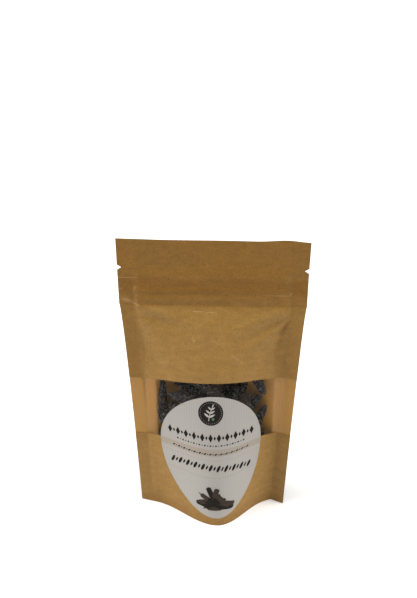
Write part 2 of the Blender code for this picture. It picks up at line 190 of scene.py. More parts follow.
def hang(x, z):
    """The height at which a point really stands: the mouth drops to the right, but for a low hump."""
    drop = MOUTH_DROP * x / TOP_HALF_WIDTH * ease((z - WINDOW_HIGH) / (HEIGHT - WINDOW_HIGH))
    hump = MOUTH_HUMP * np.exp(-(((x - HUMP_X) / HUMP_WIDTH) ** 2))
    return z - drop + hump * ease((z - ZIP_HIGH) / (HEIGHT - ZIP_HIGH))


print("deepest point of the front:", round(float(FRONT_DEPTH * belly(0.0, 0.0)) / MM, 1), "mm")

# %% [markdown]
# ## Creases
# Paper laminate keeps each fold. A full pouch is pulled from the ends of its zip towards its belly, so folds
# run out from both shoulders. Under the right one the paper has folded in on itself, as a small pocket with
# painted shade in it.
# Each crease is a line between two places on the wall with a height and a width, and a bell curve gives its
# cross-section. Between the shoulders the panel stands out as one broad facet: beyond each of two lines it
# slopes down to the cheeks. A bump pattern could only shade such folds. Here all are real shifts of the
# mesh, so they also change its outline and catch the light from the side.

# %% Crease lines: x and z of both ends, height and width in millimetres
CREASE_ENDS = 0.35
CREASE_START, CREASE_SPAN = 0.15, 0.8
FRONT_CREASES = (
    (-44, 141.5, -22, 134, 1.3, 2.4),
    (-42, 137, -14, 126, -0.8, 3.0),
    (44, 140, 12, 127, 1.2, 2.6),
    (44, 136, 20, 120, -1.0, 2.6),
    (36, 127, 10, 110, 1.1, 2.8),
    (46, 134, 40, 123.5, -1.5, 1.8),
    (40, 123.5, 37, 104, -1.1, 2.4),
    (45, 136, 24, 121, -0.5, 2.0),
    (-10, 129, 6, 129, 0.8, 9.0),
)
BACK_CREASES = (
    (-44, 140, -14, 124, 0.6, 3.0),
    (-44, 137, -26, 96, -0.8, 4.0),
    (45, 140, 16, 128, 0.5, 2.8),
    (45, 137, 24, 99, -0.8, 3.8),
    (-18, 118, 6, 96, 0.5, 5.0),
    (10, 66, 24, 30, 0.5, 5.0),
    (-22, 48, -30, 14, 0.5, 4.0),
)
# The facet's two lines: x and z of both ends, and the width of the slope beside each, in millimetres
FACET_LINES = ((-43, 142, -20, 98, 10), (15, 98, 42, 138, 10))
FACET_LOW, FACET_FADE, FACET_HEIGHT = 90 * MM, 14 * MM, 1.9 * MM
WAVE_COUNT, WAVE_LENGTHS, WAVE_HEIGHT = 6, (22, 60), 0.05 * MM
print(len(FRONT_CREASES), "creases on the front and", len(BACK_CREASES), "on the back")


# %% Creases, facet and waves
def crease(x, z, line):
    """The height of one crease at places across and up the wall, in metres."""
    x0, z0, x1, z1, height, width = (value * MM for value in line)
    run_x, run_z = x1 - x0, z1 - z0
    along = ((x - x0) * run_x + (z - z0) * run_z) / (run_x**2 + run_z**2)
    held = np.clip(along, 0, 1)
    away = np.hypot(x - x0 - held * run_x, z - z0 - held * run_z)
    fade = CREASE_ENDS + (1 - CREASE_ENDS) * np.sin(np.pi * np.clip(held * CREASE_SPAN + CREASE_START, 0, 1))
    return height * fade * np.exp(-((away / width) ** 2))


def facet(x, z):
    """How far the middle of the panel stands out, with slopes that run down from it to both cheeks."""
    least = ease((ZIP_LOW - z) / FACET_FADE) * ease((z - FACET_LOW) / FACET_FADE)
    for line in FACET_LINES:
        x0, z0, x1, z1, width = (value * MM for value in line)
        run_x, run_z = x1 - x0, z1 - z0
        beyond = ((z - z0) * run_x - (x - x0) * run_z) / math.hypot(run_x, run_z)
        least = np.minimum(least, ease(beyond / width + 1))
    return FACET_HEIGHT * least


def slow_waves(x, z, seed):
    """Very shallow waves, several centimetres long, that no hand-made bag is without."""
    draw = np.random.default_rng(seed)
    total = 0
    for _ in range(WAVE_COUNT):
        length = draw.uniform(*WAVE_LENGTHS) * MM
        turn, start = draw.uniform(0, 2 * math.pi, 2)
        total = total + np.sin((x * math.cos(turn) + z * math.sin(turn)) * 2 * math.pi / length + start)
    return total * WAVE_HEIGHT


print("the facet stands out", round(float(facet(0.0, 120 * MM)) / MM, 1), "mm")

# %% [markdown]
# The zip's two profiles show through the paper as two long, soft tubes with a sharp line between them. They
# are pinched flat at both ends, and they fade to the right, where this zip was pressed less hard.

# %% The zip's lines, and the whole relief of a wall
ZIP_TUBES = ((150.5, 2.1, 0.55), (145.6, 2.6, 0.6))
ZIP_TUBE_END, ZIP_TUBE_PINCH = 45.4 * MM, 0.8 * MM
ZIP_FADE, ZIP_FADE_START, ZIP_FADE_RUN = 0.7, -4 * MM, 34 * MM
ZIP_SWAY, ZIP_SWAY_LENGTH = 0.35 * MM, 13 * MM
SEAL_STEP, SEAL_STEP_RUN = 0.3 * MM, 2.5 * MM
SEAL_MARKS, MARK_HEIGHT, MARK_HALF = (157.6, 150.8, 142.5), 0.1 * MM, 0.4 * MM
CREASE_MARGIN = 3 * MM


def zip_tubes(x, z):
    """How far the zip's profiles press the wall out."""
    on_zip = ease((ZIP_TUBE_END - np.abs(x)) / ZIP_TUBE_PINCH)
    on_zip = on_zip * (1 - ZIP_FADE * ease((x - ZIP_FADE_START) / ZIP_FADE_RUN))
    sway = ZIP_SWAY * np.sin(x / ZIP_SWAY_LENGTH + 1.0)
    total = 0
    for level, half, height in ZIP_TUBES:
        arch = np.clip(1 - ((z - level * MM - sway) / (half * MM)) ** 2, 0, 1)
        total = total + height * MM * arch**0.8
    return total * on_zip


def relief(x, z, lines, seed):
    """All that stands out of one wall: creases, the zip's tubes and the marks on the side seals."""
    margin = inner_half(z) - np.abs(x)
    inside = ease(margin / CREASE_MARGIN)
    total = sum(crease(x, z, line) for line in lines) * inside + zip_tubes(x, z)
    total = total + SEAL_STEP * ease(margin / SEAL_STEP_RUN) * ease((ZIP_LOW - z) / (4 * MM))
    on_seal = ease(0.5 - margin / MM)
    for level in SEAL_MARKS:
        total = total + MARK_HEIGHT * on_seal * np.exp(-(((z - level * MM) / MARK_HALF) ** 2))
    return total + slow_waves(x, z, seed) * (0.25 + 0.75 * inside)


print("the zip's tubes stand", max(height for level, half, height in ZIP_TUBES), "mm proud")

# %% [markdown]
# Three things change the laminate's colour by place. At the seals, at the mouth and around the zip it is
# darker and richer, partly where hot bars pressed it and partly as painted shade, and it is darker towards
# its foot. Pale lines are partly coating that cracked where it was pinched or rubbed, and partly painted
# highlights on small folds. And its inner face, seen through the window, is a warmer brown. All are worked
# out for each point of a wall and stored as attributes of its mesh, which the material then reads. A painted
# picture could hold them too, but it would have to be unwrapped and would blur from near.
# Above the window the dark border of the panel bends inwards onto the cheeks, as its two lists of places say.
# There the darkening is painted shade.

# %% Worn places and painted highlights: x and z of both ends in millimetres, strength, and half width in millimetres
WORN_AND_HIGHLIGHT_LINES = (
    (-45.6, 152.2, -46.0, 148.9, 0.55, 0.26),
    (45.4, 149.6, 44.7, 148.3, 0.5, 0.24),
    (44.7, 148.3, 30, 148.9, 0.22, 0.22),
    (-55, 157.6, -44, 157.7, 0.32, 0.22),
    (-55, 150.8, -52.5, 150.8, 0.45, 0.22),
    (-53, 144.8, -48, 143.6, 0.22, 1.1),
    (-47, 142.4, -43, 141.3, 0.42, 0.26),
    (-11.5, 138.4, -5.5, 138.3, 0.45, 0.24),
    (-3.5, 138.0, 2, 138.1, 0.22, 0.22),
    (-11.6, 123.0, -10.6, 120.6, 0.4, 0.32),
    (-0.6, 123.2, 0.8, 121.8, 0.35, 0.22),
    (11, 113.6, 18, 108.0, 0.28, 0.28),
)


def worn_and_highlight(x, z):
    """1 on a pale line, 0 elsewhere: partly cracked coating, partly a painted highlight on a small fold."""
    total = 0
    for x0, z0, x1, z1, strength, width in WORN_AND_HIGHLIGHT_LINES:
        line = crease(x, z, (x0, z0, x1, z1, 1.0, width)) / MM
        total = np.maximum(total, strength * line)
    return np.clip(total, 0, 1)


print(len(WORN_AND_HIGHLIGHT_LINES), "worn lines on the front")

# %% Pressed places and painted shade. A border is a list of heights and a list of places across, in millimetres
# The two borders bend the darkened zone inwards onto the cheeks above the window: painted shade.
LEFT_SHADE_BORDER = ((94, 112, 126, 141), (-42.2, -40.6, -43.0, -45.6))
RIGHT_SHADE_BORDER = ((94, 112, 124, 134), (38.2, 37.2, 40.2, 46.2))
BORDER_ABOVE_WINDOW = 20 * MM
# How much darker each seal is drawn: partly where hot bars pressed it, partly painted shade.
LEFT_SEAL_PRESS_AND_SHADE, RIGHT_SEAL_PRESS_AND_SHADE = 0.55, 0.35
LOW_SEAL_LOSS, LOW_SEAL_RUN = 0.65, 10 * MM
# The foot is drawn darker towards the bottom.
FOOT_DARKENING, FOOT_HIGH, FOOT_RUN = 0.4, 11 * MM, 9 * MM
# The mouth is darker, partly where hot bars pressed it and partly as painted shade.
MOUTH_PRESS_AND_SHADE, MOUTH_LOW, MOUTH_RUN = 0.75, 137 * MM, 9 * MM
# The band above the zip is painted shade.
BAND_SHADE, BAND_LOW, BAND_HIGH = 0.25, 147 * MM, 156 * MM
BAND_SWAY, BAND_SWAY_LENGTH = 0.9 * MM, 9 * MM
# A line of painted shade under the zip.
ZIP_LINE_SHADE, ZIP_LINE_HALF = 0.3, 0.7 * MM
# Painted shade in the pocket under the right shoulder.
POCKET_SHADE, POCKET_SHADE_LINE = 0.6, (46, 133, 40.5, 124, 1.0, 1.1)


def beyond_dark_borders(x, z):
    """How far a place is outside the borders of the darkened zone, which bend inwards onto the cheeks as
    painted shade.
    """
    inner = inner_half(z) - 0.4 * MM
    left = -np.interp(z, [v * MM for v in LEFT_SHADE_BORDER[0]], [v * MM for v in LEFT_SHADE_BORDER[1]])
    right = np.interp(z, [v * MM for v in RIGHT_SHADE_BORDER[0]], [v * MM for v in RIGHT_SHADE_BORDER[1]])
    bent = (z > WINDOW_LOW + BORDER_ABOVE_WINDOW) & (z < ZIP_LOW)
    border = np.where(bent, np.minimum(np.where(x < 0, left, right), inner), inner)
    return np.abs(x) - border


def pressed_and_shade(x, z):
    """1 where the laminate is drawn darkest, 0 where it is as it left the mill. The darkening is partly from
    hot bars and partly painted shade.
    """
    # The seals are darker where hot bars pressed them, with painted shade added.
    seal = np.where(x < 0, LEFT_SEAL_PRESS_AND_SHADE, RIGHT_SEAL_PRESS_AND_SHADE)
    seal = seal * ease(beyond_dark_borders(x, z) / (2 * MM) + 0.5)
    seal = seal * (1 - LOW_SEAL_LOSS * ease((WINDOW_LOW - z) / LOW_SEAL_RUN))
    # Darker towards the foot.
    foot = FOOT_DARKENING * ease((FOOT_HIGH - z) / FOOT_RUN)
    # The band above the zip is painted shade, and the mouth is partly pressed and partly painted shade.
    sway = BAND_SWAY * np.sin(x / BAND_SWAY_LENGTH)
    band_shade = ease((z - BAND_LOW) / (3 * MM)) * (1 - ease((z - BAND_HIGH - sway) / (4 * MM)))
    mouth = MOUTH_PRESS_AND_SHADE * ease((z - MOUTH_LOW) / MOUTH_RUN) + BAND_SHADE * band_shade
    # A line of painted shade under the zip.
    zip_shade_line = ZIP_LINE_SHADE * np.exp(-(((z - ZIP_LOW) / ZIP_LINE_HALF) ** 2))
    # Painted shade in the pocket under the right shoulder.
    pocket_shade = POCKET_SHADE * crease(x, z, POCKET_SHADE_LINE) / MM
    return np.maximum(np.maximum(seal, foot), mouth) + pocket_shade + zip_shade_line


def store(mesh, name, values):
    """Writes one number for each point of a mesh."""
    mesh.attributes.new(name, "FLOAT", "POINT").data.foreach_set("value", np.asarray(values, float).ravel())


print("on the right seal, pressed is", round(float(pressed_and_shade(50 * MM, 100 * MM)), 2))

# %% [markdown]
# The front is a stack of thin sheets, and the back is a single one. The kraft laminate is about 0.18 mm thick
# here. The film lies behind the kraft's cut edges, and the sticker in front of both. Each layer has its own
# distance from the middle plane, so no two of them can meet.

# %% The layers of the walls
KRAFT_OUTER, KRAFT_INNER = 0.30 * MM, 0.12 * MM
FILM_OUTER, FILM_INNER = 0.11 * MM, 0.03 * MM
BACK_INNER, BACK_OUTER = 0.03 * MM, 0.21 * MM
LABEL_BACK, LABEL_FACE = 0.34 * MM, 0.46 * MM
FILL_TOP = 109 * MM
FRONT_SLACK_RUN, BACK_SLACK_RUN = 8 * MM, 12 * MM
TAUT_RELIEF, SLACK_RELIEF = 0.45 * MM, 2.4 * MM
FRONT_SEED, BACK_SEED = 3, 5


def front_y(x, z, layer):
    """The depth of a layer of the front. Where the filling holds it taut, it never bends inwards."""
    shift = relief(x, z, FRONT_CREASES, FRONT_SEED) + facet(x, z)
    shift = np.where(shift < 0, shift * ease((z - FILL_TOP) / FRONT_SLACK_RUN), shift)
    proud = TAUT_RELIEF + SLACK_RELIEF * ease((z - WINDOW_LOW) / (FILL_TOP - WINDOW_LOW))
    depth = FRONT_DEPTH * belly(x, z) + zip_swell(x, z)
    return middle(x, z) - layer - depth - np.clip(shift, -depth, proud)


def back_y(x, z, layer):
    """The depth of a layer of the back."""
    shift = relief(x, z, BACK_CREASES, BACK_SEED)
    shift = np.where(shift < 0, shift * ease((z - FILL_TOP) / BACK_SLACK_RUN), shift)
    depth = BACK_DEPTH * belly(x, z) + zip_swell(x, z)
    return middle(x, z) + layer + depth + np.maximum(shift, -depth)


def cut_height(height, x):
    """A cut edge of the kraft that runs across the pouch, raised where the wall leans out."""
    return height + EDGE_RISE * belly(x, height)


print("the kraft is", round((KRAFT_OUTER - KRAFT_INNER) / MM, 2), "mm thick")

# %% [markdown]
# ## Meshes of thin sheets
# A modifier could thicken a single sheet, but then the layers would only be about where they should be. So a
# sheet is made as two equal grids of points, one for each face, closed by a rim. The columns of the grid
# follow the seals' inner edges and the outer edge, and they are pulled in at the tear notches.

# %% Closing two grids into one sheet
SHARP_EDGE = 50


def new_piece(name, mesh, material):
    """Links a mesh as a piece of the pouch, with one material, under the root body."""
    mesh.materials.clear()
    mesh.materials.append(material)
    piece = bpy.data.objects.new(name, mesh)
    bpy.context.scene.collection.objects.link(piece)
    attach(piece, "root")
    return piece


def face_outwards(mesh):
    """Turns every face of a closed mesh outwards."""
    work = bmesh.new()
    work.from_mesh(mesh)
    bmesh.ops.recalc_face_normals(work, faces=work.faces)
    work.to_mesh(mesh)
    work.free()


def sheet_mesh(name, near, far):
    """A closed sheet from two arrays of points, rows by columns by 3."""
    rows, cols = near.shape[:2]
    index = np.arange(rows * cols).reshape(rows, cols)
    a, b, c, d = index[:-1, :-1], index[:-1, 1:], index[1:, 1:], index[1:, :-1]
    front = np.stack([a, b, c, d], -1).reshape(-1, 4)
    back = front[:, ::-1] + rows * cols
    rim = np.concatenate([index[0], index[1:, -1], index[-1, -2::-1], index[-2:0:-1, 0]])
    after = np.roll(rim, -1)
    edge = np.stack([after, rim, rim + rows * cols, after + rows * cols], -1)
    faces = np.concatenate([front, back, edge]).tolist()
    points = np.concatenate([near.reshape(-1, 3), far.reshape(-1, 3)]).tolist()
    mesh = bpy.data.meshes.new(name)
    mesh.from_pydata(points, [], faces)
    face_outwards(mesh)
    mesh.shade_smooth()
    mesh.set_sharp_from_angle(angle=math.radians(SHARP_EDGE))
    return mesh


print("edges over", SHARP_EDGE, "degrees stay sharp")

# %% A sheet of a wall
SEAL_COLUMNS = 8
EDGE_SPREAD = 6 * MM
INSIDE_AT_SEAL, INSIDE_RUN = 0.5, 6 * MM


def across(z, count):
    """Places across a sheet at one height, from edge to edge."""
    inner, outer = float(inner_half(z)), float(half_width(z))
    notch = NOTCH_DEPTH * max(0.0, 1 - abs(z - NOTCH_HEIGHT) / NOTCH_HALF)
    seal = np.linspace(inner, outer - notch, SEAL_COLUMNS)[1:]
    return np.concatenate([-seal[::-1], np.linspace(-inner, inner, count), seal])


def wall_sheet(name, heights, surface, outer, inner, count, low=None, high=None):
    """A sheet of a wall between two heights, with its cut edges raised as cut_height says."""
    near, far, places = [], [], []
    for z in heights:
        x = across(z, count)
        level = np.full_like(x, z)
        for edge in (low, high):
            if edge is not None:
                share = np.clip(abs(z - edge) / EDGE_SPREAD, 0, 1)
                level = level + (cut_height(edge, x) - edge) * (1 - share)
        near.append(np.stack([x, surface(x, level, outer), hang(x, level)], -1))
        far.append(np.stack([x, surface(x, level, inner), hang(x, level)], -1))
        places.append(np.stack([x, level], -1))
    mesh = sheet_mesh(name, np.array(near), np.array(far))
    x, z = np.array(places + places).reshape(-1, 2).T
    outside = np.arange(len(x)) < len(x) / 2
    store(mesh, "pressed_and_shade", pressed_and_shade(x, z) * outside)
    deeper = ease((inner_half(z) - np.abs(x)) / INSIDE_RUN)
    store(mesh, "inside", np.where(outside, 0, INSIDE_AT_SEAL + (1 - INSIDE_AT_SEAL) * deeper))
    store(mesh, "worn_and_highlight", worn_and_highlight(x, z) * (surface is front_y))
    return mesh


def steps(low, high, spacing):
    return np.linspace(low, high, max(2, round((high - low) / spacing) + 1))


print("a column every", round(2 * float(inner_half(HEIGHT)) / 120 / MM, 2), "mm")

# %% [markdown]
# ## Making materials
# Each finish is a small tree of nodes. One helper adds a node, sets it and links its inputs, so that a
# material reads as a list of what feeds what. Colours are written as the hex values that a screen shows, and
# one function turns them into the linear light that the shader needs. Most natural surfaces are coats of
# colour that a pattern lets through in places, over a fine relief, so two more helpers make those.

# %% Helpers for nodes
# Settings that many nodes share: a blend of colours, and four kinds of sum
blend = {"data_type": "RGBA"}
plus, minus, times, over = ({"operation": name} for name in ("ADD", "SUBTRACT", "MULTIPLY", "DIVIDE"))


def linear(hex_colour):
    """A screen colour such as 9A7640 as linear red, green, blue and alpha."""
    parts = [int(hex_colour[i : i + 2], 16) / 255 for i in (0, 2, 4)]
    return [p / 12.92 if p <= 0.04045 else ((p + 0.055) / 1.055) ** 2.4 for p in parts] + [1.0]


def add_node(tree, kind, settings=None, inputs=None):
    """Adds a node. Each input, by name or number, is a value or the output that feeds it."""
    made = tree.nodes.new(kind)
    for key, value in (settings or {}).items():
        setattr(made, key, value)
    for key, value in (inputs or {}).items():
        if isinstance(value, bpy.types.NodeSocket):
            tree.links.new(value, made.inputs[key])
        else:
            made.inputs[key].default_value = value
    return made


print("half grey on a screen is", round(linear("808080")[0], 2), "in linear light")


# %% Helpers for finishes
def start_material(name, constants):
    """A new material with its shader's constant values set, and the place on the object."""
    made = bpy.data.materials.new(name)
    made.use_nodes = True
    tree = made.node_tree
    shader = tree.nodes["Principled BSDF"]
    for key, value in constants.items():
        shader.inputs[key].default_value = value
    return made, tree, shader, add_node(tree, "ShaderNodeTexCoord").outputs["Object"]


def per_mm(size):
    """The scale of a noise whose grains are size millimetres wide."""
    return 1 / (size * MM)


def coat(tree, under, pattern, span, cover, colour):
    """Lays a colour over another. Where the pattern goes through its span, the share covered goes with it."""
    share = add_node(
        tree, "ShaderNodeMapRange", inputs={0: pattern, 1: span[0], 2: span[1], 3: cover[0], 4: cover[1]}
    ).outputs[0]
    return add_node(tree, "ShaderNodeMix", blend, {0: share, 6: under, 7: linear(colour)}).outputs[2]


def colour_and_relief(tree, shader, colour, pattern, strength, height):
    """Gives the shader its colour, and a pattern as fine relief of a height in millimetres."""
    bump = add_node(
        tree, "ShaderNodeBump", inputs={"Height": pattern, "Strength": strength, "Distance": height * MM}
    )
    tree.links.new(colour, shader.inputs["Base Color"])
    tree.links.new(bump.outputs["Normal"], shader.inputs["Normal"])


print("grains 1 mm wide need a noise scale of", round(per_mm(1)))

# %% [markdown]
# ## Kraft paper laminate
# Kraft is unbleached paper, so its long brown fibres stay visible: a fine grain, darker flecks of bark, and
# faint clouds where the pulp lay thicker. Here it is the outside of a laminate, matt with a slight sheen.
# Noise at three sizes makes the grain, the mottling and the clouds, where a picture of paper would show its
# seams. The real fibres are finer than a pixel of the picture, so the grain is drawn 0.6 mm wide, which is as
# coarse as it needs to be to show.

# %% Kraft paper material
kraft, tree, shader, place = start_material(
    "kraft_paper_laminate", {"Roughness": 0.55, "IOR": 1.45, "Specular IOR Level": 0.3}
)
stretched = add_node(
    tree, "ShaderNodeMapping", inputs={"Vector": place, "Scale": (0.6, 1.0, 1.5)}
).outputs["Vector"]
grain, mottling, clouds = (
    add_node(
        tree, "ShaderNodeTexNoise", inputs={"Vector": at, "Scale": per_mm(size), "Detail": detail}
    ).outputs["Fac"]
    for at, size, detail in ((stretched, 0.6, 3.0), (stretched, 4.5, 3.0), (place, 34, 2.0))
)
flecks = add_node(
    tree, "ShaderNodeTexVoronoi", inputs={"Vector": stretched, "Scale": per_mm(3.0)}
).outputs["Distance"]
body = add_node(
    tree, "ShaderNodeMix", blend, {0: clouds, 6: linear("8A682F"), 7: linear("957239")}
).outputs[2]
body = coat(tree, body, mottling, (0.35, 0.68), (0.0, 0.55), "7B5B27")
body = coat(tree, body, grain, (0.38, 0.68), (0.0, 0.75), "705122")
body = coat(tree, body, flecks, (0.06, 0.14), (0.6, 0.0), "4B3319")
multiply = {"data_type": "RGBA", "blend_type": "MULTIPLY"}
# The first tint darkens where hot bars pressed the laminate and where shade is painted.
# The second tint lays pale lines of cracked coating and painted highlights on small folds.
tints = (("pressed_and_shade", multiply, "DAC886"), ("worn_and_highlight", blend, "C7A777"), ("inside", blend, "A3742F"))
for name, mode, tint in tints:
    share = add_node(tree, "ShaderNodeAttribute", {"attribute_name": name}).outputs["Fac"]
    body = add_node(tree, "ShaderNodeMix", mode, {0: share, 6: body, 7: linear(tint)}).outputs[2]
colour_and_relief(tree, shader, body, grain, 0.22, 0.05)
print(kraft.name, "has", len(tree.nodes), "nodes")

# %% [markdown]
# ## Clear film
# The window is a polyester and polyethylene film about 0.08 mm thick. Seen straight on it is nearly
# invisible, and what shows is its gloss and a faint haze of fine scuffs. Near each seal a strip of painted
# sheen, in the colour of lit paper, stands for the light that the film and the paper behind it throw back
# there.
# Transmission would bend the light as thick glass does. Alpha lets it straight through, as so thin a film
# does, and the scuffs and the painted strips raise the alpha by their place on the window.

# %% Film material
film, tree, shader, place = start_material("clear_polyester_film", {"Roughness": 0.16, "IOR": 1.5})
side = add_node(tree, "ShaderNodeSeparateXYZ", inputs={0: place}).outputs["X"]
# The strips of painted sheen: both sides in millimetres, and how much each one covers
SHEEN_STRIPS = ((-42.5, -34.0, 0.14), (37.6, 46.0, 0.17))
SHEEN_STRIP_EDGE = 2
sheen_strips = []
for low, high, strength in SHEEN_STRIPS:
    rise, fall = (
        add_node(
            tree, "ShaderNodeMapRange", {"interpolation_type": "SMOOTHSTEP"},
            {0: side, 1: start * MM, 2: (start + SHEEN_STRIP_EDGE) * MM, 3: before, 4: after},
        ).outputs[0]
        for start, before, after in ((low, 0.0, strength), (high - SHEEN_STRIP_EDGE, 1.0, 0.0))
    )
    sheen_strips.append(add_node(tree, "ShaderNodeMath", times, {0: rise, 1: fall}).outputs[0])
painted_sheen = add_node(tree, "ShaderNodeMath", plus, {0: sheen_strips[0], 1: sheen_strips[1]}).outputs[0]
cover = painted_sheen
# Scuffs and patches: grain in millimetres, the noise's span, and how much they cover
for size, start, end, least, most in ((0.5, 0.58, 0.8, 0.0, 0.035), (14, 0.35, 0.75, 0.002, 0.012)):
    haze = add_node(
        tree, "ShaderNodeTexNoise", inputs={"Vector": place, "Scale": per_mm(size), "Detail": 2.0}
    ).outputs["Fac"]
    haze = add_node(
        tree, "ShaderNodeMapRange", inputs={0: haze, 1: start, 2: end, 3: least, 4: most}
    ).outputs[0]
    cover = add_node(tree, "ShaderNodeMath", plus, {0: cover, 1: haze}).outputs[0]
tree.links.new(cover, shader.inputs["Alpha"])
# The strips are painted sheen, tinted like lit paper; elsewhere the film is a pale grey.
tint = coat(tree, linear("D6D0C8"), painted_sheen, (0.0, 0.1), (0.0, 1.0), "CF9C5C")
tree.links.new(tint, shader.inputs["Base Color"])
print(film.name, "has", len(tree.nodes), "nodes")

# %% [markdown]
# ## Front, film and back
# The front is kraft above and below the window, and film between. The film reaches a little way behind both
# cut edges, as it is glued there. The back is one piece of kraft. Rows stand closer together around the zip
# and the notches, where there is more to show.

# %% The walls
CLOSE, WIDE = 0.5 * MM, 0.8 * MM
GLUED = 0.4 * MM
zip_rows = np.concatenate(
    [steps(ZIP_LOW - 5 * MM, ZIP_HIGH + ZIP_RAMP, CLOSE)[1:], steps(ZIP_HIGH + ZIP_RAMP, HEIGHT, CLOSE)[1:]]
)
upper_rows = np.concatenate([steps(WINDOW_HIGH, ZIP_LOW - 5 * MM, WIDE), zip_rows])
front_upper = new_piece(
    "kraft_front_upper",
    wall_sheet("kraft_front_upper", upper_rows, front_y, KRAFT_OUTER, KRAFT_INNER, 120, low=WINDOW_HIGH),
    kraft,
)
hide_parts("front_upper")
front_lower = new_piece(
    "kraft_front_lower",
    wall_sheet(
        "kraft_front_lower", steps(0, WINDOW_LOW, WIDE), front_y, KRAFT_OUTER, KRAFT_INNER, 100,
        high=WINDOW_LOW,
    ),
    kraft,
)
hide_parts("front_lower")
window = new_piece(
    "clear_window",
    wall_sheet(
        "clear_window", steps(WINDOW_LOW - GLUED, WINDOW_HIGH + GLUED, MM), front_y, FILM_OUTER, FILM_INNER,
        90, low=WINDOW_LOW - GLUED, high=WINDOW_HIGH + GLUED,
    ),
    film,
)
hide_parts("window_film")
back_rows = np.concatenate([steps(0, ZIP_LOW - 5 * MM, 1.2 * MM), zip_rows])
back = new_piece(
    "kraft_back", wall_sheet("kraft_back", back_rows, back_y, BACK_OUTER, BACK_INNER, 100), kraft
)
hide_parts("back_panel")
for piece in (front_upper, front_lower, window, back):
    print(piece.name, 2 * len(piece.data.polygons), "triangles")

# %% [markdown]
# ## The gusset
# The bottom sheet is what makes the pouch stand. In the middle it lies open and flat on the table. Towards
# both side seals it keeps its fold, so it rises between the walls like the end of a tent. Cross-sections from
# the front wall over the fold to the back wall, one after another along the fold, give that form. They start
# and end just inside the walls, whose formula says where that is, so the gusset needs no fitting.

# %% The gusset
GUSSET_FLAT_HALF = 15 * MM
GUSSET_END_HALF = 34 * MM
GUSSET_RISE = 22 * MM
GUSSET_SHEET = 0.18 * MM
GUSSET_CLEARANCE = 0.02 * MM
GUSSET_SECTIONS, GUSSET_POINTS = 90, 25

from_front_to_back = np.linspace(-1, 1, GUSSET_POINTS)
near, far = [], []
for x in np.linspace(-GUSSET_END_HALF, GUSSET_END_HALF, GUSSET_SECTIONS):
    fold = float(GUSSET_RISE * ease((abs(x) - GUSSET_FLAT_HALF) / (GUSSET_END_HALF - GUSSET_FLAT_HALF)))
    y_front, y_back = float(front_y(x, 0.0, 0.0)), float(back_y(x, 0.0, 0.0))
    reach = (y_back - y_front) / 2 - GUSSET_CLEARANCE
    y = (y_front + y_back) / 2 + from_front_to_back * reach
    z = fold * (1 - np.abs(from_front_to_back))
    thick = GUSSET_SHEET * math.hypot(fold, reach) / reach
    near.append(np.stack([np.full_like(y, x), y, z], -1))
    far.append(np.stack([np.full_like(y, x), y, z + thick], -1))
gusset = new_piece("kraft_gusset", sheet_mesh("kraft_gusset", np.array(near), np.array(far)), kraft)
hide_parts("gusset")
print("the fold rises to", round(GUSSET_RISE / MM), "mm at both ends")

# %% [markdown]
# ## The zip
# The two halves of the zip are extruded polyethylene: milky, slightly soft, with a waxy gloss. They are
# sealed between the walls, so the solids of the frame are kept and only given their finish. Some light goes
# through polyethylene, and subsurface scattering gives that look.

# %% Polyethylene material
polyethylene, tree, shader, place = start_material(
    "milky_polyethylene",
    {"Roughness": 0.38, "IOR": 1.51, "Subsurface Weight": 0.4, "Subsurface Scale": 0.8 * MM},
)
streaks = add_node(
    tree, "ShaderNodeMapping", inputs={"Vector": place, "Scale": (0.05, 1.0, 1.0)}
).outputs["Vector"]
streaks = add_node(
    tree, "ShaderNodeTexNoise", inputs={"Vector": streaks, "Scale": per_mm(0.7), "Detail": 2.0}
).outputs["Fac"]
milk = add_node(
    tree, "ShaderNodeMix", blend, {0: streaks, 6: linear("DAD6CC"), 7: linear("EFECE4")}
).outputs[2]
tree.links.new(milk, shader.inputs["Base Color"])
for name in ("zip_rib", "zip_groove"):
    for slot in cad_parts[name].material_slots:
        slot.material = polyethylene
print(polyethylene.name, "is on both halves of the zip")

# %% [markdown]
# ## The sticker
# The sticker is laid paper: fine ribs from the mould run down it, about a millimetre apart, and it takes the
# bend of the pouch under it. Its outline is an egg, round above and drawn out below. The paper is a pale
# warm grey. The ribs are a wave pattern across X with their real spacing, in the colour and in the bump.

# %% Laid paper material
RIB_SPACING = 1.05
WAVE_PERIOD = 0.314

paper, tree, shader, place = start_material("laid_paper", {"Roughness": 0.7, "IOR": 1.45})
ribs = add_node(
    tree, "ShaderNodeTexWave", {"bands_direction": "X"},
    {"Vector": place, "Scale": WAVE_PERIOD * per_mm(RIB_SPACING), "Distortion": 0.6, "Detail": 1.0,
     "Detail Scale": 2.0},
).outputs["Fac"]
pulp = add_node(
    tree, "ShaderNodeTexNoise", inputs={"Vector": place, "Scale": per_mm(0.7), "Detail": 3.0}
).outputs["Fac"]
tone = add_node(
    tree, "ShaderNodeMix", blend, {0: ribs, 6: linear("8C8882"), 7: linear("96928C")}
).outputs[2]
tone = coat(tree, tone, pulp, (0.35, 0.75), (0.0, 0.3), "837E77")
colour_and_relief(tree, shader, tone, ribs, 0.3, 0.04)
print(paper.name, "has a rib every", RIB_SPACING, "mm")

# %% The sticker
LABEL_MIDDLE_X = -1.0
LABEL_LEAN = 3.9
LABEL_WIDEST = 55.0
LABEL_HALF_WIDTH = 31.8
LABEL_UP = 32.8
LABEL_DOWN = 49.3
LABEL_DRAWN_OUT = 1.95
LABEL_TIP, LABEL_TIP_HALF = 0.05, 0.3
LABEL_ROWS, LABEL_POINTS = 90, 61


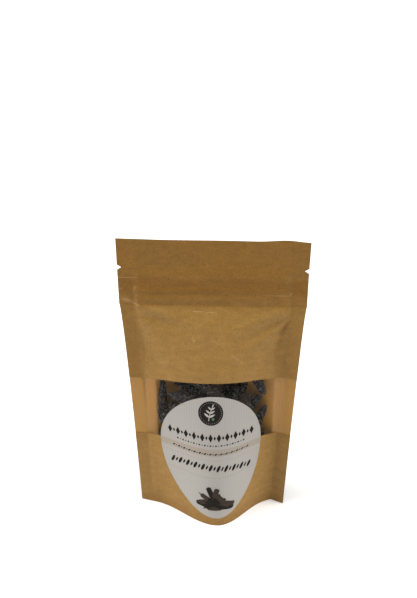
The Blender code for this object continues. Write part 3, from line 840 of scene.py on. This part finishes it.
def label_half(z):
    """Half the sticker's width at a height. Both are in millimetres."""
    if z >= LABEL_WIDEST:
        return LABEL_HALF_WIDTH * math.sqrt(max(0.0, 1 - ((z - LABEL_WIDEST) / LABEL_UP) ** 2))
    return LABEL_HALF_WIDTH * math.sqrt(max(0.0, 1 - ((LABEL_WIDEST - z) / LABEL_DOWN) ** LABEL_DRAWN_OUT))


def label_centre(z):
    """The sticker's middle at a height: it was stuck on by hand, so it leans to the right at its foot."""
    return LABEL_MIDDLE_X + LABEL_LEAN * ((z - LABEL_WIDEST) / LABEL_DOWN) ** 2


near, far = [], []
side_shares = np.sin(np.linspace(-0.5, 0.5, LABEL_POINTS) * math.pi)
for turn in np.linspace(math.pi, 0, LABEL_ROWS):
    z = LABEL_WIDEST + (LABEL_UP if turn < math.pi / 2 else LABEL_DOWN) * math.cos(turn)
    z = min(max(z, LABEL_WIDEST - LABEL_DOWN + LABEL_TIP), LABEL_WIDEST + LABEL_UP - LABEL_TIP)
    x = (label_centre(z) + max(label_half(z), LABEL_TIP_HALF) * side_shares) * MM
    z = np.full_like(x, z * MM)
    near.append(np.stack([x, front_y(x, z, LABEL_BACK), z], -1))
    far.append(np.stack([x, front_y(x, z, LABEL_FACE), z], -1))
label = new_piece("paper_sticker", sheet_mesh("paper_sticker", np.array(near), np.array(far)), paper)
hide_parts("label")
print("the sticker is", 2 * LABEL_HALF_WIDTH, "mm wide and", LABEL_UP + LABEL_DOWN, "mm high")

# %% [markdown]
# ## What is printed on the sticker
# The print is plain ornament in the sticker's own colours: a round seal with a leaf sprig, rows of lozenges,
# dots, dashes and leaves, a band of tan, and a heap of spikes. Ink lies on the paper as a film, so each mark
# is a very thin solid laid on the sticker's surface. A picture on the paper could show them too, but solids
# stay sharp from near. A ribbon with a centre line and a changing width draws strokes, leaves, rules and
# discs alike.

# %% Ink materials
def ink(name, dark, light, constants):
    """Offset ink: a little uneven, because the paper's ribs take less of it."""
    made, tree, shader, place = start_material(name, constants)
    uneven = add_node(
        tree, "ShaderNodeTexNoise", inputs={"Vector": place, "Scale": per_mm(0.8), "Detail": 2.0}
    ).outputs["Fac"]
    tint = add_node(
        tree, "ShaderNodeMix", blend, {0: uneven, 6: linear(dark), 7: linear(light)}
    ).outputs[2]
    tree.links.new(tint, shader.inputs["Base Color"])
    return made


DULL = {"Roughness": 0.7, "IOR": 1.48, "Specular IOR Level": 0.05}
dark_ink = ink("black_offset_ink", "151311", "26211F", DULL)
tan_ink = ink("tan_offset_ink", "847A6E", "8C8276", {"Roughness": 0.65, "IOR": 1.48})
pale_ink = ink("pale_offset_ink", "938E88", "A39E98", {"Roughness": 0.6, "IOR": 1.48})
green_ink = ink("green_offset_ink", "2A5E3A", "376F47", {"Roughness": 0.5, "IOR": 1.48})
brown_ink = ink("brown_offset_ink", "2A241F", "3F362E", DULL)
print("five inks")

# %% Drawing with ribbons
INK_SUNK, INK_PROUD, INK_STEP = 0.02 * MM, 0.03 * MM, 0.012 * MM


def ribbon(path, half_widths, across_steps=3, lift=0):
    """A stroke on the sticker. path holds x and z of its centre line, in millimetres."""
    path = np.array(path, float)
    run = np.gradient(path, axis=0)
    run /= np.linalg.norm(run, axis=1)[:, None]
    square = np.stack([-run[:, 1], run[:, 0]], 1)
    side_share = np.linspace(-1, 1, across_steps)
    half = np.maximum(np.array(half_widths, float), 0.02)
    flat = path[:, None] + square[:, None] * (half[:, None] * side_share)[:, :, None]
    x, z = flat[..., 0] * MM, flat[..., 1] * MM
    level = LABEL_FACE + lift * INK_STEP
    near = np.stack([x, front_y(x, z, level - INK_SUNK), z], -1)
    far = np.stack([x, front_y(x, z, level + INK_PROUD), z], -1)
    return near, far


def disc(x, z, radius, lift=0):
    """A round mark, drawn as one ribbon whose width follows the circle."""
    turn = np.linspace(0, math.pi, 33)
    path = np.stack([x - radius * np.cos(turn), np.full_like(turn, z)], 1)
    return ribbon(path, radius * np.sin(turn), 17, lift)


def leaf(x, z, length, angle, fat=0.3, lift=0, steps_along=9):
    """A pointed leaf that starts at a place and grows at an angle."""
    share = np.linspace(0, 1, steps_along)
    turn = math.radians(angle)
    path = np.stack([x + share * length * math.cos(turn), z + share * length * math.sin(turn)], 1)
    return ribbon(path, length * fat * np.sin(math.pi * share**0.85), 3, lift)


def print_piece(name, marks, material):
    """Joins marks into one piece of print."""
    work = bmesh.new()
    for number, (near, far) in enumerate(marks):
        part = sheet_mesh(f"{name}_{number}", near, far)
        work.from_mesh(part)
        bpy.data.meshes.remove(part)
    mesh = bpy.data.meshes.new(name)
    work.to_mesh(mesh)
    work.free()
    mesh.shade_smooth()
    piece = new_piece(name, mesh, material)
    print(name, "-", len(marks), "marks")
    return piece


# %% The seal with its sprig
SEAL_X, SEAL_Z, SEAL_RADIUS = -0.9, 77.7, 7.6
RING_DOTS, RING_RADIUS = 32, 6.5

print_piece("printed_seal", [disc(SEAL_X, SEAL_Z, SEAL_RADIUS)], dark_ink)
stem = np.linspace(0, 1, 12)
stem_path = np.stack([SEAL_X - 1.2 + 2.2 * stem**1.6, SEAL_Z - 4.8 + 8.6 * stem], 1)
sprig = [ribbon(stem_path, np.full(12, 0.22), lift=1), leaf(*stem_path[-1], 2.2, 72, 0.17, 1)]
for step, place_on_stem in enumerate((3, 6, 9)):
    at = stem_path[place_on_stem]
    size = 4.0 - 0.6 * step
    sprig.append(leaf(*at, size, 28 + 4 * step, 0.16, 1))
    sprig.append(leaf(*at, size, 142 - 2 * step, 0.16, 1))
for k in range(RING_DOTS):
    turn = 2 * math.pi * k / RING_DOTS
    sprig.append(disc(SEAL_X + RING_RADIUS * math.cos(turn), SEAL_Z + RING_RADIUS * math.sin(turn), 0.16, 1))
print_piece("printed_sprig", sprig, pale_ink)
print_piece("printed_berry", [disc(SEAL_X + 1.5, SEAL_Z - 3.6, 0.75, 1)], green_ink)

# %% Bands and rules
def level_line(z, margin, half_height, count=60):
    """A rule or band that ends a margin short of the sticker's outline."""
    reach = label_half(z) - margin
    x = np.linspace(label_centre(z) - reach, label_centre(z) + reach, count)
    return ribbon(np.stack([x, np.full_like(x, z)], 1), np.full(count, half_height))


BAND_Z, BAND_HALF = 52.4, 2.2
print_piece(
    "printed_tan_marks",
    [level_line(BAND_Z, 0.2, BAND_HALF), level_line(47.2, 1.2, 0.1), level_line(35.6, 1.5, 0.12)],
    tan_ink,
)

# %% [markdown]
# ## Rows of ornaments
# A row of small marks that follows a line is work for Geometry Nodes. The tree makes one mark, sets copies
# of it along a line, gives every second one its own size and turn, and makes them real. Its inputs are the
# number of marks, the length of the row, the size and slimness of a mark, its number of sides and its turn.
# The flat row is then laid on the sticker's curved face.

# %% Starting a tree, and running it
def start_group(name, sockets):
    """A new Geometry Nodes tree with named inputs, and its input and output nodes."""
    group = bpy.data.node_groups.new(name, "GeometryNodeTree")
    for label_text, kind, value in sockets:
        group.interface.new_socket(label_text, in_out="INPUT", socket_type=kind).default_value = value
    group.interface.new_socket("Geometry", in_out="OUTPUT", socket_type="NodeSocketGeometry")
    return group, add_node(group, "NodeGroupInput").outputs, add_node(group, "NodeGroupOutput").inputs


def grow(name, group, values, material):
    """Runs a tree with these input values and returns the result as a plain mesh."""
    holder = bpy.data.objects.new(name, bpy.data.meshes.new(name + "_start"))
    bpy.context.scene.collection.objects.link(holder)
    modifier = holder.modifiers.new("grow", "NODES")
    modifier.node_group = group
    sockets = {item.name: item.identifier for item in group.interface.items_tree if item.in_out == "INPUT"}
    for key, value in values.items():
        modifier[sockets[key]] = value
    modifier[sockets["Material"]] = material
    bpy.context.view_layer.update()
    evaluated = holder.evaluated_get(bpy.context.evaluated_depsgraph_get())
    mesh = bpy.data.meshes.new_from_object(evaluated)
    holder.modifiers.remove(modifier)
    start = holder.data
    bpy.data.objects.remove(holder)
    bpy.data.meshes.remove(start)
    return mesh


print("trees so far:", len(bpy.data.node_groups))

# %% The tree for rows: its inputs and one mark
rows_tree, given, result = start_group(
    "row_of_marks",
    (("Count", "NodeSocketInt", 11), ("Half length", "NodeSocketFloat", 0.02),
     ("Size", "NodeSocketFloat", 0.001), ("Slimness", "NodeSocketFloat", 0.5),
     ("Sides", "NodeSocketInt", 4), ("Turn", "NodeSocketFloat", 0.0),
     ("Thickness", "NodeSocketFloat", 0.0001), ("Second size", "NodeSocketFloat", 1.0),
     ("Second turn", "NodeSocketFloat", -1.0), ("Material", "NodeSocketMaterial", None)),
)
mark = add_node(
    rows_tree, "GeometryNodeMeshCylinder", {"fill_type": "NGON"},
    {"Vertices": given["Sides"], "Side Segments": 1, "Fill Segments": 1, "Radius": given["Size"],
     "Depth": given["Thickness"]},
).outputs["Mesh"]
squeeze = add_node(
    rows_tree, "ShaderNodeCombineXYZ", inputs={"X": 1.0, "Y": given["Slimness"], "Z": 1.0}
).outputs[0]
mark = add_node(
    rows_tree, "GeometryNodeTransform", inputs={"Geometry": mark, "Scale": squeeze}
).outputs["Geometry"]
print(len(rows_tree.nodes), "nodes make the mark")

# %% The tree for rows: where each mark stands
number = add_node(rows_tree, "GeometryNodeInputIndex").outputs[0]
odd = add_node(rows_tree, "ShaderNodeMath", {"operation": "MODULO"}, {0: number, 1: 2.0}).outputs[0]
last = add_node(rows_tree, "ShaderNodeMath", minus, {0: given["Count"], 1: 1.0}).outputs[0]
share = add_node(rows_tree, "ShaderNodeMath", over, {0: number, 1: last}).outputs[0]
share = add_node(
    rows_tree, "ShaderNodeMapRange", inputs={0: share, 1: 0.0, 2: 1.0, 3: -1.0, 4: 1.0}
).outputs[0]
along = add_node(rows_tree, "ShaderNodeMath", times, {0: share, 1: given["Half length"]}).outputs[0]
spot = add_node(rows_tree, "ShaderNodeCombineXYZ", inputs={"X": along}).outputs[0]
spots = add_node(
    rows_tree, "GeometryNodePoints", inputs={"Count": given["Count"], "Position": spot}
).outputs[0]
print(len(rows_tree.nodes), "nodes with the places")

# %% The tree for rows: turns, sizes and the finished row
flip = add_node(
    rows_tree, "ShaderNodeMapRange", inputs={0: odd, 1: 0.0, 2: 1.0, 3: 1.0, 4: given["Second turn"]}
).outputs[0]
turn = add_node(rows_tree, "ShaderNodeMath", times, {0: flip, 1: given["Turn"]}).outputs[0]
turn = add_node(rows_tree, "ShaderNodeCombineXYZ", inputs={"Z": turn}).outputs[0]
size = add_node(
    rows_tree, "ShaderNodeMapRange", inputs={0: odd, 1: 0.0, 2: 1.0, 3: 1.0, 4: given["Second size"]}
).outputs[0]
row = add_node(
    rows_tree, "GeometryNodeInstanceOnPoints",
    inputs={"Points": spots, "Instance": mark, "Rotation": turn, "Scale": size},
).outputs[0]
row = add_node(rows_tree, "GeometryNodeRealizeInstances", inputs={0: row}).outputs[0]
row = add_node(
    rows_tree, "GeometryNodeSetMaterial", inputs={"Geometry": row, "Material": given["Material"]}
).outputs[0]
rows_tree.links.new(row, result["Geometry"])
print(rows_tree.name, "has", len(rows_tree.nodes), "nodes")


# %% Rows on the sticker
def lay_row(name, z, rise, tilt, material, **values):
    """Grows a row, bends and tilts it by these heights at its ends, and lays it on the sticker at z."""
    mesh = grow(name, rows_tree, values, material)
    flat = np.array([v.co for v in mesh.vertices])
    x = flat[:, 0] + label_centre(z) * MM
    share = flat[:, 0] / values["Half length"]
    up = (z + rise * share**2 + tilt * share) * MM + flat[:, 1]
    level = np.where(flat[:, 2] > 0, LABEL_FACE + INK_PROUD + 2 * INK_STEP, LABEL_FACE - INK_SUNK)
    y = front_y(x, up, 0.0) - level
    for vertex, place_now in zip(mesh.vertices, np.stack([x, y, up], 1)):
        vertex.co = place_now
    face_outwards(mesh)
    new_piece(name, mesh, material)
    print(name, "-", values["Count"], "marks")


lay_row(
    "printed_lozenges", 62.0, 0.5, 0.0, dark_ink, Count=21, Size=2.7 * MM, Slimness=0.5, Sides=4,
    Turn=math.pi / 2, **{"Half length": 25.5 * MM, "Second size": 0.5},
)
lay_row(
    "printed_dots", 57.0, 0.4, 0.0, dark_ink, Count=25, Size=0.55 * MM, Slimness=1.0, Sides=8,
    Turn=0.0, **{"Half length": 20.5 * MM, "Second size": 0.65},
)
lay_row(
    "printed_dashes", 51.4, 0.6, 0.0, dark_ink, Count=29, Size=0.95 * MM, Slimness=0.5, Sides=8,
    Turn=0.7, **{"Half length": 23 * MM, "Second size": 0.6, "Second turn": 1.0},
)
lay_row(
    "printed_leaves", 42.3, -2.2, -1.4, dark_ink, Count=21, Size=2.5 * MM, Slimness=0.34, Sides=12,
    Turn=1.15, **{"Half length": 24 * MM, "Second size": 0.62, "Second turn": 1.0},
)

# %% [markdown]
# The heap at the sticker's foot is drawn stroke by stroke, one for each spike: a knobbly body that narrows to
# its stalk. Copies of a single stroke would look stamped, so each has its own place, angle and length. They
# lie one step above another, so none flickers into the next, and every second one is brown, which keeps
# spikes that cross apart.

# %% The printed heap of spikes
# For each spike, x and z of its middle, its angle in degrees, and its length. The rest is in millimetres
HEAP = (
    (-4.6, 15.0, 172, 11.0), (1.0, 13.4, 3, 12.0), (8.0, 13.8, -12, 12.0), (10.6, 16.0, -25, 8.0),
    (-1.5, 15.4, 42, 10.0), (-4.8, 17.4, 20, 11.0), (0.5, 16.4, -12, 12.0), (6.5, 17.4, -32, 12.0),
    (4.0, 18.8, 5, 10.0), (-4.0, 20.8, -28, 9.5), (0.8, 20.6, 35, 11.0), (4.8, 21.2, -50, 9.5),
    (-0.8, 24.6, 112, 9.0), (2.2, 24.4, 70, 8.0),
)
DRAWN_HALF, DRAWN_STALK_HALF = 1.5, 0.3
DRAWN_KNOBS, KNOB_SHARE = 9, 0.14
BODY_FROM, BODY_TAPER, STALK_UNTIL = 0.14, 0.10, 0.2


def printed_spike(x, z, angle, length, lift):
    """A knobbly dark stroke, thick along its body and thin at its stalk, whose middle is at a place."""
    share = np.linspace(-0.5, 0.5, 40)
    turn = math.radians(angle)
    path = np.stack([x + share * length * math.cos(turn), z + share * length * math.sin(turn)], 1)
    up = share + 0.5
    knobs = 1 + KNOB_SHARE * np.abs(np.sin(up * DRAWN_KNOBS * math.pi))
    stalk_end = np.sqrt(np.clip((up - BODY_FROM) / BODY_TAPER, 0, 1))
    tip = np.sqrt(np.clip((1 - up) / BODY_TAPER, 0, 1))
    half = np.maximum(DRAWN_HALF * stalk_end * tip * knobs, DRAWN_STALK_HALF * (up < STALK_UNTIL))
    return ribbon(path, half, 3, lift)


heap = [printed_spike(*line, number) for number, line in enumerate(HEAP)]
print_piece("printed_heap_dark", heap[0::2], dark_ink)
print_piece("printed_heap_brown", heap[1::2], brown_ink)

# %% [markdown]
# ## Long pepper
# A spike of long pepper is a catkin of tiny berries that have grown together, set in spirals round a core,
# with the stalk still on one end. Dried, it is dark and dusty, and every berry stands out as a knob. The
# berries repeat by a rule, so a Geometry Nodes tree grows the spike: each next berry turns by the golden
# angle, and a profile curve thins the spike towards both ends. A core and a bent stalk join them. The tree
# also gives each berry a number of its own, from which the finish makes some berries dustier than others.

# %% Dried pepper material
pepper, tree, shader, place = start_material(
    "dried_long_pepper", {"Roughness": 0.85, "IOR": 1.45, "Specular IOR Level": 0.12}
)
skin, dust, batch = (
    add_node(
        tree, "ShaderNodeTexNoise",
        inputs={"Vector": place, "Scale": per_mm(size), "Detail": detail, "Roughness": roughness},
    ).outputs["Fac"]
    for size, detail, roughness in ((2.2, 3.0, 0.5), (1.5, 4.0, 0.65), (17, 1.0, 0.5))
)
colour = add_node(
    tree, "ShaderNodeMix", blend, {0: skin, 6: linear("120F0E"), 7: linear("221E1C")}
).outputs[2]
colour = coat(tree, colour, batch, (0.55, 0.75), (0.0, 0.25), "4A3323")
berry_dust = add_node(tree, "ShaderNodeAttribute", {"attribute_name": "dusty"}).outputs["Fac"]
berry_dust = add_node(
    tree, "ShaderNodeMath", {"operation": "MULTIPLY_ADD"}, {0: berry_dust, 1: 0.3, 2: dust}
).outputs[0]
colour = coat(tree, colour, berry_dust, (0.66, 0.95), (0.0, 0.58), "5C5752")
colour_and_relief(tree, shader, colour, dust, 0.5, 0.12)
print(pepper.name, "has", len(tree.nodes), "nodes")

# %% The tree for a spike: its inputs and its outline
GOLDEN_ANGLE = math.pi * (3 - math.sqrt(5))
BERRY_SEGMENTS, BERRY_RINGS, BERRY_SIZES = 10, 6, (0.62, 1.04)
CORE_SIDES, CORE_RINGS, CORE_INSET = 14, 12, 0.95
STALK_SIDES, STALK_RINGS, STALK_GIRTH = 8, 6, 0.19
STALK_SHOWING, STALK_FLARE, FLARE_POWER = 0.8, 0.5, 6.0

spike_tree, given, result = start_group(
    "long_pepper_spike",
    (("Length", "NodeSocketFloat", 0.03), ("Radius", "NodeSocketFloat", 0.0037),
     ("Berry", "NodeSocketFloat", 0.0011), ("Count", "NodeSocketInt", 150),
     ("Stalk", "NodeSocketFloat", 0.005), ("Stalk bend", "NodeSocketFloat", 0.001),
     ("Seed", "NodeSocketInt", 1), ("Material", "NodeSocketMaterial", None)),
)


def profile(share):
    """The girth of the spike at a share of its length, from its own curve."""
    curve = add_node(spike_tree, "ShaderNodeFloatCurve", inputs={"Value": share})
    line = curve.mapping.curves[0]
    line.points[0].location, line.points[1].location = (0.0, 0.60), (1.0, 0.34)
    for at in ((0.05, 0.84), (0.18, 1.0), (0.45, 0.98), (0.72, 0.88), (0.9, 0.70), (0.97, 0.52)):
        line.points.new(*at)
    curve.mapping.update()
    return curve.outputs[0]


print("the golden angle is", round(math.degrees(GOLDEN_ANGLE), 1), "degrees")

# %% The tree for a spike: where each berry sits
number = add_node(spike_tree, "GeometryNodeInputIndex").outputs[0]
step = add_node(spike_tree, "ShaderNodeMath", plus, {0: number, 1: 0.5}).outputs[0]
share = add_node(spike_tree, "ShaderNodeMath", over, {0: step, 1: given["Count"]}).outputs[0]
turn = add_node(spike_tree, "ShaderNodeMath", times, {0: number, 1: GOLDEN_ANGLE}).outputs[0]
reach = add_node(spike_tree, "ShaderNodeMath", times, {0: profile(share), 1: given["Radius"]}).outputs[0]
reach = add_node(spike_tree, "ShaderNodeMath", minus, {0: reach, 1: given["Berry"]}).outputs[0]
reach = add_node(spike_tree, "ShaderNodeMath", {"operation": "MAXIMUM"}, {0: reach, 1: 0.0}).outputs[0]
place_on_spike = []
for swing in ("COSINE", "SINE"):
    swung = add_node(spike_tree, "ShaderNodeMath", {"operation": swing}, {0: turn}).outputs[0]
    place_on_spike.append(add_node(spike_tree, "ShaderNodeMath", times, {0: swung, 1: reach}).outputs[0])
place_on_spike.append(
    add_node(spike_tree, "ShaderNodeMath", times, {0: share, 1: given["Length"]}).outputs[0]
)
spot = add_node(spike_tree, "ShaderNodeCombineXYZ", inputs=dict(enumerate(place_on_spike))).outputs[0]
spots = add_node(
    spike_tree, "GeometryNodePoints", inputs={"Count": given["Count"], "Position": spot}
).outputs[0]
print(len(spike_tree.nodes), "nodes place the berries")

# %% The tree for a spike: the berries
berry = add_node(
    spike_tree, "GeometryNodeMeshUVSphere",
    inputs={"Segments": BERRY_SEGMENTS, "Rings": BERRY_RINGS, "Radius": given["Berry"]},
).outputs["Mesh"]
uneven = add_node(
    spike_tree, "FunctionNodeRandomValue", {"data_type": "FLOAT"},
    {2: BERRY_SIZES[0], 3: BERRY_SIZES[1], "Seed": given["Seed"]},
).outputs[1]
tumble = add_node(
    spike_tree, "FunctionNodeRandomValue", {"data_type": "FLOAT_VECTOR"},
    {0: (0.0, 0.0, 0.0), 1: (6.28, 6.28, 6.28), "Seed": given["Seed"]},
).outputs[0]
berries = add_node(
    spike_tree, "GeometryNodeInstanceOnPoints",
    inputs={"Points": spots, "Instance": berry, "Rotation": tumble, "Scale": uneven},
).outputs[0]
dusty = add_node(
    spike_tree, "FunctionNodeRandomValue", {"data_type": "FLOAT"}, {2: 0.0, 3: 1.0, "Seed": given["Seed"]}
).outputs[1]
berries = add_node(
    spike_tree, "GeometryNodeStoreNamedAttribute", {"data_type": "FLOAT", "domain": "INSTANCE"},
    {"Geometry": berries, "Name": "dusty", "Value": dusty},
).outputs[0]
print(len(spike_tree.nodes), "nodes with the berries")


# %% The tree for a spike: its core and its stalk
def tube(radius, length, sides, rings, shape):
    """A closed cylinder along Z from 0 to length, whose rings a function of height then places."""
    made = add_node(
        spike_tree, "GeometryNodeMeshCylinder", {"fill_type": "TRIANGLE_FAN"},
        {"Vertices": sides, "Side Segments": rings, "Fill Segments": 1, "Radius": radius, "Depth": length},
    ).outputs["Mesh"]
    position = add_node(spike_tree, "GeometryNodeInputPosition").outputs[0]
    at = add_node(spike_tree, "ShaderNodeSeparateXYZ", inputs={0: position}).outputs
    height = add_node(spike_tree, "ShaderNodeMath", over, {0: at["Z"], 1: length}).outputs[0]
    height = add_node(spike_tree, "ShaderNodeMath", plus, {0: height, 1: 0.5}).outputs[0]
    placed = dict(enumerate(shape(at, height)))
    moved = add_node(spike_tree, "ShaderNodeCombineXYZ", inputs=placed).outputs[0]
    return add_node(
        spike_tree, "GeometryNodeSetPosition", inputs={"Geometry": made, "Position": moved}
    ).outputs[0]


def core_shape(at, height):
    """The core has the spike's girth, less almost a berry all round."""
    girth = add_node(spike_tree, "ShaderNodeMath", times, {0: profile(height), 1: given["Radius"]}).outputs[0]
    inset = add_node(spike_tree, "ShaderNodeMath", times, {0: given["Berry"], 1: CORE_INSET}).outputs[0]
    girth = add_node(spike_tree, "ShaderNodeMath", minus, {0: girth, 1: inset}).outputs[0]
    return [
        add_node(spike_tree, "ShaderNodeMath", times, {0: value, 1: factor}).outputs[0]
        for value, factor in ((at["X"], girth), (at["Y"], girth), (height, given["Length"]))
    ]


def stalk_shape(at, height):
    """The stalk bends to one side, and flares where it broke off."""
    down = add_node(spike_tree, "ShaderNodeMath", minus, {0: 1.0, 1: height}).outputs[0]
    sway = add_node(spike_tree, "ShaderNodeMath", times, {0: down, 1: down}).outputs[0]
    sway = add_node(spike_tree, "ShaderNodeMath", times, {0: sway, 1: given["Stalk bend"]}).outputs[0]
    flare = add_node(
        spike_tree, "ShaderNodeMath", {"operation": "POWER"}, {0: down, 1: FLARE_POWER}
    ).outputs[0]
    flare = add_node(spike_tree, "ShaderNodeMath", times, {0: flare, 1: STALK_FLARE}).outputs[0]
    flare = add_node(spike_tree, "ShaderNodeMath", plus, {0: 1.0, 1: flare}).outputs[0]
    sunk = add_node(spike_tree, "ShaderNodeMath", minus, {0: height, 1: STALK_SHOWING}).outputs[0]
    x, y, z = (
        add_node(spike_tree, "ShaderNodeMath", times, {0: value, 1: factor}).outputs[0]
        for value, factor in ((at["X"], flare), (at["Y"], flare), (sunk, given["Stalk"]))
    )
    return add_node(spike_tree, "ShaderNodeMath", plus, {0: x, 1: sway}).outputs[0], y, z


core = tube(1.0, given["Length"], CORE_SIDES, CORE_RINGS, core_shape)
thin = add_node(spike_tree, "ShaderNodeMath", times, {0: given["Radius"], 1: STALK_GIRTH}).outputs[0]
stalk = tube(thin, given["Stalk"], STALK_SIDES, STALK_RINGS, stalk_shape)
print(len(spike_tree.nodes), "nodes with the core and the stalk")

# %% The tree for a spike: all in one
joined = add_node(spike_tree, "GeometryNodeJoinGeometry")
for part in (berries, core, stalk):
    spike_tree.links.new(part, joined.inputs[0])
spike = add_node(spike_tree, "GeometryNodeRealizeInstances", inputs={0: joined.outputs[0]}).outputs[0]
spike = add_node(spike_tree, "GeometryNodeSetShadeSmooth", inputs={"Geometry": spike}).outputs[0]
spike = add_node(
    spike_tree, "GeometryNodeSetMaterial", inputs={"Geometry": spike, "Material": given["Material"]}
).outputs[0]
spike_tree.links.new(spike, result["Geometry"])
print(spike_tree.name, "has", len(spike_tree.nodes), "nodes")

# %% [markdown]
# Each solid spike in the frame says where one pepper lies. The direction in which its points spread most is
# its axis, and its thin end is the stalk. A grown spike of that length and girth takes its place.

# %% The spikes in the pouch
BERRY_RADIUS, BERRY_PITCH, CELL_SHARE = 1.35 * MM, 2.45 * MM, 0.87
MEAN_GIRTH, GIRTH_GAIN, TIP_ROOM = 0.8, 1.02, 0.6 * MM
STALK_SHARE, STALK_BEND = 0.15, 0.25
END_SHARE, GIRTH_PERCENTILE = 0.1, 96


def lie_of(node):
    """The start, direction, length and radius of a solid spike, from its points."""
    points = np.array([v.co for v in node.data.vertices])
    centre = points.mean(0)
    axis = np.linalg.svd(points - centre, full_matrices=False)[2][0]
    along = (points - centre) @ axis
    off_axis = np.linalg.norm(points - centre - along[:, None] * axis, axis=1)
    span = along.max() - along.min()
    near_low = off_axis[along < along.min() + END_SHARE * span].mean()
    near_high = off_axis[along > along.max() - END_SHARE * span].mean()
    if near_high < near_low:
        axis, along = -axis, -along
    return centre + axis * along.min(), axis, span, np.percentile(off_axis, GIRTH_PERCENTILE)


grown = 0
for number, name in enumerate(sorted(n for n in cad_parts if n.startswith("pepper_")), start=1):
    start, axis, span, radius = lie_of(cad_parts[name])
    stalk_length = STALK_SHARE * span
    body_length = span - STALK_SHOWING * stalk_length - TIP_ROOM
    count = int(2 * math.pi * radius * MEAN_GIRTH * body_length / (BERRY_PITCH**2 * CELL_SHARE))
    mesh = grow(
        f"spike_{number:02d}", spike_tree,
        {"Length": body_length, "Radius": radius * GIRTH_GAIN, "Berry": BERRY_RADIUS, "Count": count,
         "Stalk": stalk_length, "Stalk bend": STALK_BEND * radius * (-1) ** number, "Seed": number},
        pepper,
    )
    place_at = Matrix.Translation(Vector(start) + Vector(axis) * (STALK_SHOWING * stalk_length))
    mesh.transform(place_at @ Vector(axis).to_track_quat("Z", "X").to_matrix().to_4x4())
    piece = new_piece(f"spike_{number:02d}", mesh, pepper)
    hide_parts(name)
    mesh.calc_loop_triangles()
    grown += len(mesh.loop_triangles)
print(number, "spikes with", grown, "triangles")

# %% [markdown]
# ## Floor and light
# The picture is a product shot on white. A large pale floor and a white surround give that. Two big soft
# lamps stand at the sides, the left one stronger, so both cheeks of the pouch are a little brighter than its
# middle. A third hangs overhead, so surfaces that lean back are brighter than the upright mouth. All are suns
# with wide discs, because nearer lamps would leave the far floor grey. The surround looks white but gives
# little light, as in a room where only the backdrop is lit.

# %% Floor
FLOOR_HALF, FLOOR_CELLS, FLOOR_DROP = 3.0, 12, 0.05 * MM

floor_finish, tree, shader, place = start_material("pale_floor", {"Roughness": 0.9})
shader.inputs["Base Color"].default_value = linear("F4F3F1")
floor_mesh = bpy.data.meshes.new("floor")
work = bmesh.new()
bmesh.ops.create_grid(work, x_segments=FLOOR_CELLS, y_segments=FLOOR_CELLS, size=FLOOR_HALF)
bmesh.ops.translate(work, verts=work.verts, vec=(0, 0, -FLOOR_DROP))
work.to_mesh(floor_mesh)
work.free()
floor_mesh.materials.append(floor_finish)
floor = bpy.data.objects.new("floor", floor_mesh)
bpy.context.scene.collection.objects.link(floor)
floor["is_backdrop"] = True
print("the floor is", 2 * FLOOR_HALF, "m wide")

# %% White surround
AMBIENT, BACKDROP = 0.22, 1.05

world = bpy.data.worlds.new("white_surround")
bpy.context.scene.world = world
world.use_nodes = True
tree = world.node_tree
seen = add_node(tree, "ShaderNodeLightPath").outputs["Is Camera Ray"]
strength = add_node(
    tree, "ShaderNodeMapRange", inputs={0: seen, 1: 0.0, 2: 1.0, 3: AMBIENT, 4: BACKDROP}
).outputs[0]
tree.links.new(strength, tree.nodes["Background"].inputs["Strength"])
tree.nodes["Background"].inputs["Color"].default_value = linear("FFFFFF")
print("the surround shows with a strength of", BACKDROP, "and lights with", AMBIENT)


# %% Lamps
def sun(name, azimuth, elevation, softness, strength):
    """A lamp so far away that it lights the whole floor alike. Angles are in degrees, from the front."""
    data = bpy.data.lights.new(name, "SUN")
    data.angle = math.radians(softness)
    data.energy = strength
    made = bpy.data.objects.new(name, data)
    a, e = math.radians(azimuth), math.radians(elevation)
    towards = Vector((math.sin(a) * math.cos(e), -math.cos(a) * math.cos(e), math.sin(e)))
    made.rotation_mode = "QUATERNION"
    made.rotation_quaternion = towards.to_track_quat("Z", "Y")
    bpy.context.scene.collection.objects.link(made)
    return made


sun("soft_left", -84, 30, 42, 3.7)
sun("soft_right", 82, 30, 42, 2.9)
sun("soft_top", 0, 70, 44, 1.35)
bpy.context.scene.view_settings.view_transform = "Standard"
print("three soft lamps and a white surround")

# %% [markdown]
# ## Finish
# The box of the dressed pouch is written beside the box of its solids, so that the two can be compared.

# %% Sizes of the dressed pouch and of its solids
dressed_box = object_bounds()
for corner in (*cad_box, *dressed_box):
    print([round(v / MM, 1) for v in corner])
